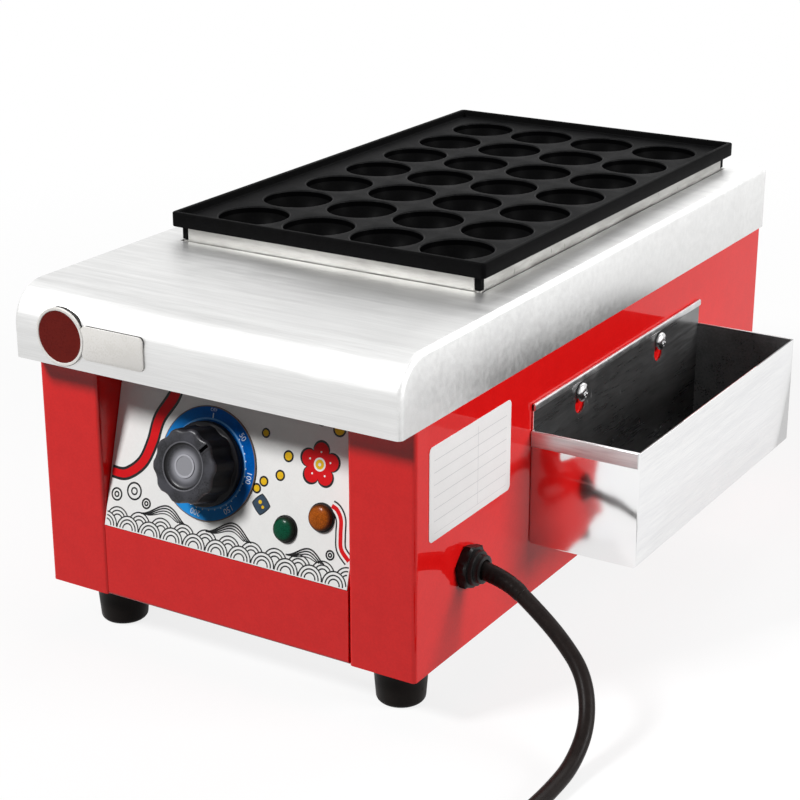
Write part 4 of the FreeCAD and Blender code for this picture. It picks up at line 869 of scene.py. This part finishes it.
def makeKnob():
    # rows of (radius, height, share) from the hollow underneath, up the skirt and the grip and into the recess;
    # share 1 adds the radius to the lobed grip's, share 0 is a plain circle
    def rows(run, radius=0.0, height=0.0, share=0):
        return [(radius + r, height + z, share) for r, z in run]

    face, low, skirt, skirtTop = knob["top"] - knob["crown"], knob["low"], knob["skirt"], knob["skirtTop"]
    (hollow, roof), recess, edge = knob["hollow"], knob["recess"], knob["gripEdge"]
    floor = face - knob["recessDepth"]
    table = rows([(0, roof), (hollow, roof)])
    table += rows([(hollow, 0.3), (hollow + 0.3, 0), (skirt - 0.3, 0), (skirt, 0.3)], 0, low)
    table += rows(arc((skirt - 0.8, skirtTop - 0.8), 0.8, 0, 90, 4))
    table += rows([(0.9, 0), (0.35, 0.25), (0.1, 0.9)], 0, skirtTop, 1) + [(-0.75, face - 1.9, 1)]
    table += rows(arcAt((-0.8 - edge, face - edge), edge, [12, 32, 52, 72, 90]), share=1)
    table += [(15.5, face + 0.02, 0)]
    table += rows([(1.1, 0), (0.9, 0.22), (0.4, 0.24), (0.1, 0.05), (-0.1, -0.5)], recess, face)
    table += rows([(-0.3, 0.75), (-1.4, 0.25), (-2.8, 0.05)], recess, floor)
    table += rows([(7.0, 0), (6.5, 0.05), (6.25, 0.5), (5.4, 0.5), (5.15, 0.2), (0, 0.25)], 0, floor)
    table = np.array(table)
    angle = np.radians(np.arange(0, 360, 1.5))
    radius = np.where(table[:, 2:] > 0, gripRadius(angle) + table[:, :1], table[:, :1])
    middle = np.array([dial["x"], dial["up"], 0])
    normal = onPanel(np.array([0.0, 0.0, 1.0])) - onPanel(np.zeros(3))
    start = onPanel(middle + [0, 0, face - knob["faceDepth"]])

    def paint(middles):
        # the top of the grip, the rounded edge and the dish are the face, which takes the lighter copy of the
        # plastic as painted light; the rest is the side
        return (middles * mm - start) @ normal > 0

    makePiece("thermostatKnob", [tubePatch(ringGrid(radius, table[:, 1], angle) + middle)], "knob_plastic",
              "darkPhenolic", "rubbedPhenolicPaintedLit", body="knob", place=onPanel, crease=42, paint=paint,
              replaces=["control_knob"])
    # pointer: a channel section (across, height) carried outwards along the pointer's line, its bottom painted
    # near-black as painted shade in the channel
    section = np.array([(-2.2, -0.2), (-1.9, 0.34), (-1.05, 0.4), (-0.9, 0.06), (0.9, 0.06), (1.05, 0.4),
                        (1.9, 0.34), (2.2, -0.2)])
    along, lifts = np.array([13.6, 14.0, 19.0, 19.6]), np.array([0.2, 1.0, 1.0, 0.4])
    way = math.radians(90 - knob["turn"])
    out, side = polar(1.0, way), polar(1.0, way + math.pi / 2)
    flat = along[:, None, None] * out + section[:, :1] * side
    grid = withHeight(flat, 0) + middle
    grid[..., 2] = face + section[:, 1] * lifts[:, None]
    bottom = np.tile(np.arange(len(section) - 1) == 3, len(along) - 1)
    makePiece("knobPointer", [gridPatch(grid)], "knob_plastic", "rubbedPhenolicPaintedLit", "notchPaintedShade", body="knob",
              place=onPanel, crease=30, outward=False, paint=lambda middles: bottom)


lens = {"low": 1.8, "straight": 0.9, "rise": 2.7, "rim": 0.8, "bodyFoot": -21.2}


def makeLamps():
    # a lens is a short cylinder under half an ellipse; its bezel is a round-topped ring on the lamp's body
    bodies = []
    for name, lamp in lamps.items():
        radius, shift, foot = lamp["radius"], [lamp["x"], lamp["up"], 0], lens["low"] - 0.3
        profile = [(0, foot), (radius, foot), (radius, lens["low"] + lens["straight"])]
        profile += arc((0, lens["low"] + lens["straight"]), radius, 8, 90, 11, lens["rise"])
        makePiece(name + "PilotLens", [turnedPatch(profile, 56, shift)], "lens_" + name, place=onPanel,
                  crease=60, replaces=[name + "_lens"])
        outer, end = radius + lens["rim"], lens["bodyFoot"]
        ring = [(0, end), (4.0, end), (4.5, end + 0.5), (4.5, fasciaFace), (outer, fasciaFace), (outer, 1.3)]
        ring += arc((outer - 0.45, 1.35), 0.45, 0, 90, 4) + [(radius, 1.8), (0, 1.5)]
        bodies.append(turnedPatch(ring, 56, shift))
    makePiece("lampBezels", bodies, "black_plastic", place=onPanel, replaces=["lamp_holders"])


gland = {"y": -171.8, "z": 75.3, "flats": 22.0, "nut": 5.5, "turn": 15.0}


def makeGland():
    # rows of (radius, height); over the hexagon the radius is the smaller of the flats' and a cone's
    angle, nut = np.radians(np.arange(0, 360, 3.0)), gland["nut"]
    toFlat = np.mod(angle - math.radians(gland["turn"]), math.pi / 3) - math.pi / 6
    hexagon = gland["flats"] / 2 / np.cos(toFlat)
    rows = [(5.6, -14), (7.8, -14), (8.0, -13.6), (8.0, 0), (11.3, 0), (12.9, 0.9), (12.9, 4.5), (11.0, nut)]
    rows += [(9.6, nut), (9.5, 6.0)] + arc((8.9, 7.7), 0.6, 0, 90, 4)
    rows += [(7.9, 8.3), (7.75, 8.6), (7.75, 10.6)] + arc((7.35, 10.8), 0.4, 0, 90, 3)
    rows += [(5.6, 11.2), (5.2, 10.6), (5.0, 7.2), (4.3, 7.0)]
    cone, height = np.array(rows).T
    onNut = (height >= 0) & (height <= nut) & (cone > 10)
    radius = np.where(onNut[:, None], np.minimum(hexagon, cone[:, None]), cone[:, None])
    makePiece("cordGland", [tubePatch(ringGrid(radius, height, angle))], "black_plastic", crease=28,
              place=onSide(gland["y"], gland["z"]), outward=False, replaces=["cable_gland"])


screws = {"y": (-45.5, 60.7), "z": 132.6, "seat": 1.6, "head": 5.5, "edge": 1.1, "dome": 2.3, "foot": -8.0,
          "slotReach": 2.6, "slotHalf": 0.75, "slotFade": 0.3, "slotDepth": 1.1}


def makeTrayScrews():
    # a pan head: straight edge, then an ellipse; a cross is pressed in by a depth that fades from its two arms
    head, seat, base, foot = screws["head"], screws["seat"], screws["seat"] + screws["edge"], screws["foot"]
    profile = [(0, foot), (2.5, foot), (2.5, seat), (head - 0.2, seat), (head, seat + 0.25), (head, base)]
    profile += arc((0, base), head, 12, 84, 13, screws["dome"]) + [(0, base + screws["dome"])]
    points, faces = turnedPatch(profile, 96)
    x, y = abs(points[:, 0]), abs(points[:, 1])
    pastX, pastY = (8 * np.maximum(across - screws["slotReach"], 0) for across in (x, y))
    pressed = np.clip((screws["slotHalf"] - np.minimum(x + pastY, y + pastX)) / screws["slotFade"], 0, 1)
    points[:, 2] -= screws["slotDepth"] * pressed * (points[:, 2] > base + 0.1)
    patches = [(onSide(along, screws["z"])(points), faces) for along in screws["y"]]
    makePiece("trayScrews", patches, "fastener", "chromedScrew", place=asPlaced, crease=35,
              replaces=["tray_screws"])


foot = {"x": 93.7, "y": 194.0, "height": 29.0}


def makeFeet():
    # one turned profile: screw recess, rounded lower edge, slight taper and an eased top
    high = foot["height"]
    profile = [(2.7, high), (2.7, 16.0), (5.5, 16.0), (5.5, 0.9), (6.0, 0.3), (6.6, 0.0), (9.6, 0.0)]
    profile += arc((10.1, 3.4), 3.4, -82, -8, 7) + [(14.2, 12.0), (14.9, 21.0), (15.2, 21.4), (15.6, 22.4)]
    profile += [(15.9, 26.0), (16.0, high - 0.8), (15.6, high - 0.2), (15.0, high)]
    patches = [turnedPatch(profile, 56, [x, y, 0], closeRows=True)
               for x in (-foot["x"], foot["x"]) for y in (-foot["y"], foot["y"])]
    makePiece("rubberFeet", patches, "foot_rubber", crease=40, replaces=["rubber_feet"])


badge = {"disc": (-88.5, 184.0), "radius": 16.2, "strip": (-53.5, 183.3), "stripHalf": (20.5, 9.3),
         "corner": 3.0, "thick": 1.3, "stand": 0.2, "pad": 2.2}


def makeBadge():
    # bare plates: a dark disc in a pale rim and a pale strip, each flat on a pad that fills the nose's curve
    radius, thick, stand, corner = badge["radius"], badge["thick"], badge["stand"], badge["corner"]
    halfX, halfZ = badge["stripHalf"]
    profile = [(0, thick - 0.3), (radius - 1.9, thick - 0.3), (radius - 1.7, thick - 0.05),
               (radius - 1.4, thick), (radius - 0.4, thick), (radius, thick - 0.4), (radius, stand), (0, stand)]

    def paint(middles):
        x, z = middles[:, 0] - bodyCentre[0] - badge["disc"][0], middles[:, 2] - badge["disc"][1]
        return np.hypot(x, z) >= radius - 1.85

    def pad(loop, x, z):
        # from the plate's back to the cover where the cover is flat, and a short way behind the plate above it
        over = np.clip(z + loop[:, 1] - (coverTop - coverNose), 0, coverNose - 0.01)
        fall = coverNose - np.sqrt(coverNose ** 2 - over ** 2)
        back = withHeight(loop[:, :2], -np.minimum(fall + 0.05, badge["pad"]))
        return [(onFront(x, z)(points), faces) for points, faces in barPatches([loop, back])]

    makePiece("badgeDisc", [turnedPatch(profile, 72)], "panel_print", "badgeRed", "badgeLight",
              place=onFront(*badge["disc"]), paint=paint)
    plate = platePatches(halfX, halfZ, corner, thick - 0.3, 0.3, stand)
    makePiece("badgeStrip", plate, "panel_print", "badgeLight", place=onFront(*badge["strip"]))
    pads = pad(roundedLoop(radius - 0.1, radius - 0.1, radius, stand + 0.05, 12), *badge["disc"])
    pads += pad(roundedLoop(halfX - 0.1, halfZ - 0.1, corner, stand), *badge["strip"])
    makePiece("badgePad", pads, "black_plastic", "foamPad", place=asPlaced)


def makeLabel():
    halfY, halfZ = label["half"]
    patches = platePatches(halfZ, halfY, label["corner"], label["thick"], label["edge"])
    makePiece("ratingLabel", patches, "panel_print", "ruledLabel", place=onSide(*label["middle"]))


for make in (makeCover, makeGriddle, makeHeaterBox, makeTray, makeKnob, makeLamps, makeGland, makeTrayScrews,
             makeFeet, makeBadge, makeLabel):
    make()
print("main pieces made")


cord = {
    "diameter": 8.5, "length": 1.22, "mouth": 131.2,
    "route": [(127.0, -171.8, 75.3), (143.0, -172.1, 73.6), (160.0, -174.3, 63.8), (178.0, -176.1, 50.6),
              (195.1, -182.1, 36.5), (204.9, -196.2, 19.1), (207.2, -217.0, 6.5), (207.5, -242.0, 4.25),
              (206.6, -269.0, 4.25), (203.6, -298.0, 4.25), (205.25, -326.0, 4.25)],
    "coilX": 257.0, "coilY": -326.0, "outer": 51.75, "inner": 43.25, "low": 4.25, "high": 12.75,
    "start": 180.0, "end": 1340.0, "moveIn": (485, 535), "climb": (815, 870), "moveOut": (1180, 1235),
    "turnPoints": 65, "drawn": 0.988, "tail": 38.0,
}


def coilPoints():
    # turns about the coil's middle: outside on the table, inside on the table, inside above, outside above;
    # each change of place is eased over part of a turn. The radius is a little larger than the turn it draws
    outer, inner = cord["outer"], cord["inner"]
    angle = np.linspace(cord["start"], cord["end"], cord["turnPoints"])[1:]
    radius = np.interp(angle, cord["moveIn"] + cord["moveOut"], [outer, inner, inner, outer]) / cord["drawn"]
    height = np.interp(angle, cord["climb"], [cord["low"], cord["high"]])
    return withHeight(polar(radius, np.radians(angle)) + [cord["coilX"], cord["coilY"]], height)


def coilFrame(degrees, radius, height):
    # a point on the coil, the direction out of it there and the direction along it
    turn = math.radians(degrees)
    out, way = (np.append(polar(1.0, angle), 0.0) for angle in (turn, turn + math.pi / 2))
    return np.array([cord["coilX"], cord["coilY"], height]) + radius * out, out, way


def makeCord():
    start, _, way = coilFrame(cord["end"], cord["outer"], cord["high"])
    tail = [start + way * share * cord["tail"] for share in (0.3, 0.65, 1.0)]
    points = inBody(np.concatenate([cord["route"], coilPoints(), tail]))
    curve = bpy.data.curves.new("powerLead", "CURVE")
    curve.dimensions, curve.resolution_u = "3D", 8
    spline = curve.splines.new("NURBS")
    spline.points.add(len(points) - 1)
    spline.points.foreach_set("co", np.c_[points, np.ones(len(points))].ravel())
    spline.use_endpoint_u = True
    spline.order_u = 3
    lead = addObject("powerLead", curve)
    line = bpy.data.meshes.new_from_object(lead)
    middle = readPoints(line.vertices) / mm - bodyCentre
    bpy.data.meshes.remove(line)
    curve.bevel_depth, curve.bevel_resolution, curve.use_fill_caps = cord["diameter"] / 2 * mm, 5, True
    curve.materials.append(slotFinishes["cord_rubber"])
    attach(lead, "housing")
    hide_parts("power_cord", "cord_coil", "cord_tail")
    return lead, middle, start + way * cord["tail"], way


def unitRows(vectors):
    return vectors / np.linalg.norm(vectors, axis=1, keepdims=True)


def ribWave(along, pitch):
    # a wave with flat tops
    return np.sin(along * 2 * np.pi / pitch) * 3


sleeve = {"start": 2.5, "length": 24.0, "rings": 68, "radius": 5.02, "taper": 0.55, "lip": 4.2, "rib": 0.07,
          "ribPitch": 3.4, "ribsFrom": 3.5, "ribsTo": 0.93}


def makeRelief(middle):
    # rings of a radius that tapers along the lead, with shallow ribs, square to the lead's own line
    travelled = np.concatenate([[0], np.cumsum(np.linalg.norm(np.diff(middle, axis=0), axis=1))])
    nearGland = 40
    start = np.interp(cord["mouth"] - sleeve["start"], middle[:nearGland, 0], travelled[:nearGland])
    along = np.linspace(0, sleeve["start"] + sleeve["length"], sleeve["rings"])
    centre = np.stack([np.interp(start + along, travelled, middle[:, i]) for i in range(3)], -1)
    ahead = unitRows(np.gradient(centre, axis=0))
    side = unitRows(np.cross(ahead, [0, 1, 0]))
    up = np.cross(side, ahead)
    share = along / along[-1]
    ribbed = (along > sleeve["ribsFrom"]) & (share < sleeve["ribsTo"])
    radius = sleeve["radius"] - sleeve["taper"] * share
    radius += sleeve["rib"] * np.clip(ribWave(along, sleeve["ribPitch"]), 0, 1) * ribbed
    radius[-1] = sleeve["lip"]
    x, y = polar(radius[:, None], np.radians(np.arange(0, 360, 11.25))).transpose(2, 0, 1)[..., None]
    return makePiece("strainRelief", barPatches(centre[:, None] + x * side[:, None] + y * up[:, None]),
                     "cord_rubber", crease=50)


plug = {"halfWidth": 17.0, "halfHeight": 12.75, "relief": 24.0, "ribsTo": 21.0, "ribPitch": 3.3}


def makePlug(root, way):
    # rows of (place, half width, half height, exponent) along the plug: ellipses that the exponent squares off
    width, height, relief = plug["halfWidth"], plug["halfHeight"], plug["relief"]
    ribs = np.linspace(1.0, plug["ribsTo"], 41)
    size = 4.9 + ribs / plug["ribsTo"] + 0.25 * np.clip(ribWave(ribs, plug["ribPitch"]), -1, 1)
    body = [(-1, 6.2, 6.2, 2.0), (0.5, 8.2, 7.6, 2.2), (2.5, 12.4, 10.2, 2.6), (5, 15.4, 12.0, 3.0),
            (8, 16.8, 12.7, 3.4), (12, width, height, 3.6)]
    grips = [(13, 0), (13.6, 0.7), (15, 0.8), (15.6, 0.1), (17, 0.1), (17.6, 0.8), (19, 0.8), (19.6, 0.1),
             (21, 0.1), (21.6, 0.8), (23, 0.8), (23.6, 0)]
    body += [(place, width - dip, height, 3.6) for place, dip in grips] + [(30, width, height, 3.8)]
    body += [(place, width - inset, height - inset, 4.0) for place, inset in ((34.6, 0), (35.6, 0.4), (36, 1.2))]
    rows = [(-0.5, 0, 0, 2), (-0.5, 4.6, 4.6, 2)] + [(place, r, r, 2) for place, r in zip(ribs, size)]
    rows += [(relief + place, *rest) for place, *rest in body + [(36, 0, 0, 2)]]
    place, halfWide, halfTall, power = np.array(rows).T[..., None]
    cosine, sine = polar(1.0, np.radians(np.arange(0, 360, 5))).T
    across = halfWide * np.sign(cosine) * np.abs(cosine) ** (2 / power)
    rise = halfTall * np.sign(sine) * np.abs(sine) ** (2 / power)
    side = np.array([way[1], -way[0], 0.0])
    grid = root + place[..., None] * way + across[..., None] * side + rise[..., None] * np.array([0, 0, 1.0])
    return makePiece("leadPlug", [tubePatch(grid)], "black_plastic", crease=32,
                     replaces=["mains_plug"])


tie = {"angle": 25.0, "radius": 47.5, "middle": 8.5, "halfWide": 9.4, "halfTall": 8.5, "corner": 4.6,
       "run": [(-3, 0.6), (-2.6, 0.1), (-2.2, 0), (2.2, 0), (2.6, 0.1), (3, 0.6)]}


def makeTie():
    # a strap round the coil's turns: a round-cornered square carried a short way along the coil
    middle, out, way = coilFrame(tie["angle"], tie["radius"], tie["middle"])
    rows = []
    for along, inset in tie["run"]:
        loop = roundedLoop(tie["halfWide"] - inset, tie["halfTall"] - inset, tie["corner"])
        rows.append(middle + loop[:, :1] * out + loop[:, 1:2] * [0, 0, 1.0] + along * way)
    return makePiece("coilTie", barPatches(rows), "black_plastic")


lead, leadMiddle, leadEnd, leadWay = makeCord()
relief, leadPlug, coilTie = makeRelief(leadMiddle), makePlug(leadEnd, leadWay), makeTie()
print("lead, relief and plug made")


def dialSpot(radius, degrees):
    return polar(radius, math.radians(90 - degrees)) + [dial["x"], dial["up"]]


def textPatch(words, size, radius, degrees, out):
    # flat letters become a mesh first, then turn so that their tops point away from the dial's middle
    curve = bpy.data.curves.new("words", "FONT")
    curve.body, curve.size, curve.align_x, curve.align_y = words, size, "CENTER", "CENTER"
    holder = bpy.data.objects.new("words", curve)
    letters = bpy.data.meshes.new_from_object(holder)
    points, faces = readPoints(letters.vertices), [list(face.vertices) for face in letters.polygons]
    bpy.data.objects.remove(holder)
    bpy.data.curves.remove(curve)
    bpy.data.meshes.remove(letters)
    turn = math.radians(-degrees)
    flat = points[:, :1] * polar(1.0, turn) + points[:, 1:2] * polar(1.0, turn + math.pi / 2)
    return withHeight(flat + dialSpot(radius, degrees), out), faces


def discPatch(x, up, radius, out, sides=20, wave=None):
    # a flat fan round its middle; wave(angle) scales the radius
    angle = evenTurn(sides)
    rim = polar(radius * (wave(angle) if wave else np.ones(sides)), angle)
    return tubePatch(withHeight(np.stack([rim, 0 * rim]) + [x, up], out))


def ringPatch(x, up, radius, width, out, sides=36):
    rims = [polar(reach, evenTurn(sides)) for reach in (radius + width / 2, radius - width / 2)]
    return tubePatch(withHeight(np.stack(rims) + [x, up], out))


def ribbonPatch(line, width, out):
    # a flat strip along a line: each point moved to both sides, square to the line
    line = np.asarray(line, float)
    ahead = unitRows(np.gradient(line, axis=0))
    side = np.stack([-ahead[:, 1], ahead[:, 0]], -1) * np.reshape(width, (-1, 1)) / 2
    return gridPatch(withHeight(np.stack([line + side, line - side]), out))


def smoothLine(points, steps=12):
    # a curve through points: between two of them, the cubic set by them and their neighbours
    p = np.array([points[0], *points, points[-1]], float)
    t = np.linspace(0, 1, steps, endpoint=False)[None, :, None]
    a, b, c, d = (p[i:len(p) - 3 + i, None] for i in range(4))
    curve = 0.5 * (2 * b + (c - a) * t + (2 * a - 5 * b + 4 * c - d) * t ** 2 + (3 * b - a - 3 * c + d) * t ** 3)
    return np.concatenate([curve.reshape(-1, 2), p[-1:]])


def printPiece(name, patches, ink):
    makePiece(name, patches, "panel_print", ink, place=onPanel, outward=False)


def makeDialMarks():
    out = dial["face"] + 0.04
    patches = [textPatch("OFF", *dial["off"], 0.0, out)]
    for i in range(6):
        degrees = dial["first"] + i * dial["perHalf"]
        patches.append(textPatch(str(50 * (i + 1)), dial["numberSize"], dial["numberRadius"], degrees, out))
    for i in range(dial["dots"]):
        degrees = dial["first"] + i * dial["perHalf"] / 5
        patches.append(discPatch(*dialSpot(dial["dotRadius"], degrees), dial["dotSize"], out, 10))
    start, end, width = dial["offTick"]
    patches.append(ribbonPatch([dialSpot(start, 0), dialSpot(end, 0)], width, out))
    printPiece("dialMarks", patches, "paleInk")


printing = {
    # heights of the layers above the panel, from the black lines up to the middle of the blossom
    "line": 0.86, "backing": 0.865, "fill": 0.89, "stripe": 0.91, "dots": 0.915, "heart": 0.93, "speck": 0.94,
    "half": 78.6, "low": 1.6, "outline": 0.75,
    "waves": {"pitch": 15.0, "rise": 3.75, "rows": 2, "radii": (7.3, 5.3, 3.3)},
    "crests": [(-41.0, 12.5, 30.0, 7.5), (3.0, 12.0, 30.0, 8.0), (52.0, 11.0, 24.0, 6.0)],
    "band": [(-41, 92), (-43, 80), (-51, 66), (-54, 52), (-59, 40), (-69, 32), (-78.4, 31.5)],
    "tail": [(64, 42), (67.5, 40.5), (70.5, 36), (71.5, 28), (73, 21), (78.4, 16)],
    "bandWidths": (6.4, 4.0), "bandBorder": 3.0, "tailWidths": {"backing": 6.6, "fill": 4.8, "stripe": 2.4},
    "blossom": (53.5, 61.5, 12.8),
    "bubbles": [(-62, 23.5, 4.6), (-73.6, 19.5, 3.3), (-53.0, 18.4, 2.6), (66.8, 16.6, 2.3)],
    "drops": [(18.3, 71.3, 1.7), (34.0, 62.0, 2.2), (30.4, 51.1, 2.0), (20.8, 46.0, 1.9), (16.9, 41.5, 1.8),
              (51.4, 84.0, 1.8), (62.6, 81.6, 3.0)],
    "diamond": (21.0, 33.6, 6.4),
}


def petals(angle):
    return 0.66 + 0.34 * np.abs(np.sin(2.5 * (angle - np.pi / 2) + np.pi / 2)) ** 0.75


def roundedDiamond(angle):
    power = 1.15
    return 0.72 / (np.abs(np.cos(angle)) ** power + np.abs(np.sin(angle)) ** power) ** (1 / power) + 0.1


def wavePatches():
    # sea waves in line: half rings in offset rows, cut where a nearer wave covers them, and crests above them
    p, w, patches = printing, printing["waves"], []
    step = w["pitch"] / 2
    turn = np.radians(np.linspace(0, 180, 25))
    for row in range(w["rows"]):
        base = p["low"] + row * w["rise"]
        for middle in np.arange(-p["half"] - (row % 2) * step, p["half"] + w["pitch"], w["pitch"]):
            def covered(x, up, _):
                hidden = (abs(x) > p["half"]) | (up < p["low"])
                for nearer in (middle - step, middle + step):
                    hidden |= (np.hypot(x - nearer, up - base + w["rise"]) < w["radii"][0] + 0.2) & (row > 0)
                return hidden

            for reach in w["radii"]:
                patch = ribbonPatch(polar(reach, turn) + [middle, base], p["outline"], p["line"])
                patches.append(cutPatch(patch, covered))
    share = np.linspace(0, 1, 25)
    for middle, base, wide, tall in p["crests"]:
        for line in range(4):
            x = middle + (share - 0.5) * (wide - 3.0 * line)
            up = base + (tall - 1.5 * line) * np.sin(np.pi * share ** 1.25) ** 1.4
            patches.append(ribbonPatch(np.stack([x, up], -1), 0.9 - 0.1 * line, p["line"]))
    return patches


def makePrint():
    p = printing
    backing, fill, dots = p["backing"], p["fill"], p["dots"]
    band = smoothLine(p["band"])
    bandWidth = np.linspace(*p["bandWidths"], len(band))
    line = smoothLine(p["tail"])
    tail = {layer: ribbonPatch(line, width, p[layer]) for layer, width in p["tailWidths"].items()}
    (x, up, size), (x1, up1, size1) = p["blossom"], p["diamond"]
    black = wavePatches()
    for spot in p["bubbles"]:
        black += [ringPatch(*spot, 1.0, p["line"]), ringPatch(*spot[:2], spot[2] * 0.4, 0.9, p["line"])]
    black += [ribbonPatch(band, bandWidth + p["bandBorder"], backing), tail["backing"]]
    black.append(discPatch(x, up, size, backing, 120, petals))
    black += [discPatch(a, b, r + 1.0, backing) for a, b, r in p["drops"]]
    black.append(discPatch(x1, up1, size1 + 0.8, backing, 48, roundedDiamond))
    printPiece("printBlack", black, "blackInk")
    red = [ribbonPatch(band, bandWidth, fill), tail["stripe"], discPatch(x, up, size - 1.3, fill, 120, petals)]
    printPiece("printRed", red, "redInk")
    white = [tail["fill"], discPatch(x, up, 3.6, dots, 32), discPatch(x, up, 0.9, p["speck"], 16)]
    white += [discPatch(*spot, 0.55, dots, 10) for spot in arcAt((x, up), 6.6, np.arange(90, 450, 72))]
    printPiece("printWhite", white, "whitePrint")
    yellow = [discPatch(*spot, fill) for spot in p["drops"]] + [discPatch(x, up, 2.6, p["heart"], 28)]
    yellow += [discPatch(x1 - 0.8, up1 + 1.2, 1.1, dots, 12), discPatch(x1 + 1.2, up1 - 1.2, 0.9, dots, 12)]
    printPiece("printYellow", yellow, "yellowInk")
    printPiece("printSlate", [discPatch(x1, up1, size1, fill, 48, roundedDiamond)], "slateInk")


makeDialMarks()
makePrint()
print("dial marks and panel print made")

bpy.context.view_layer.update()
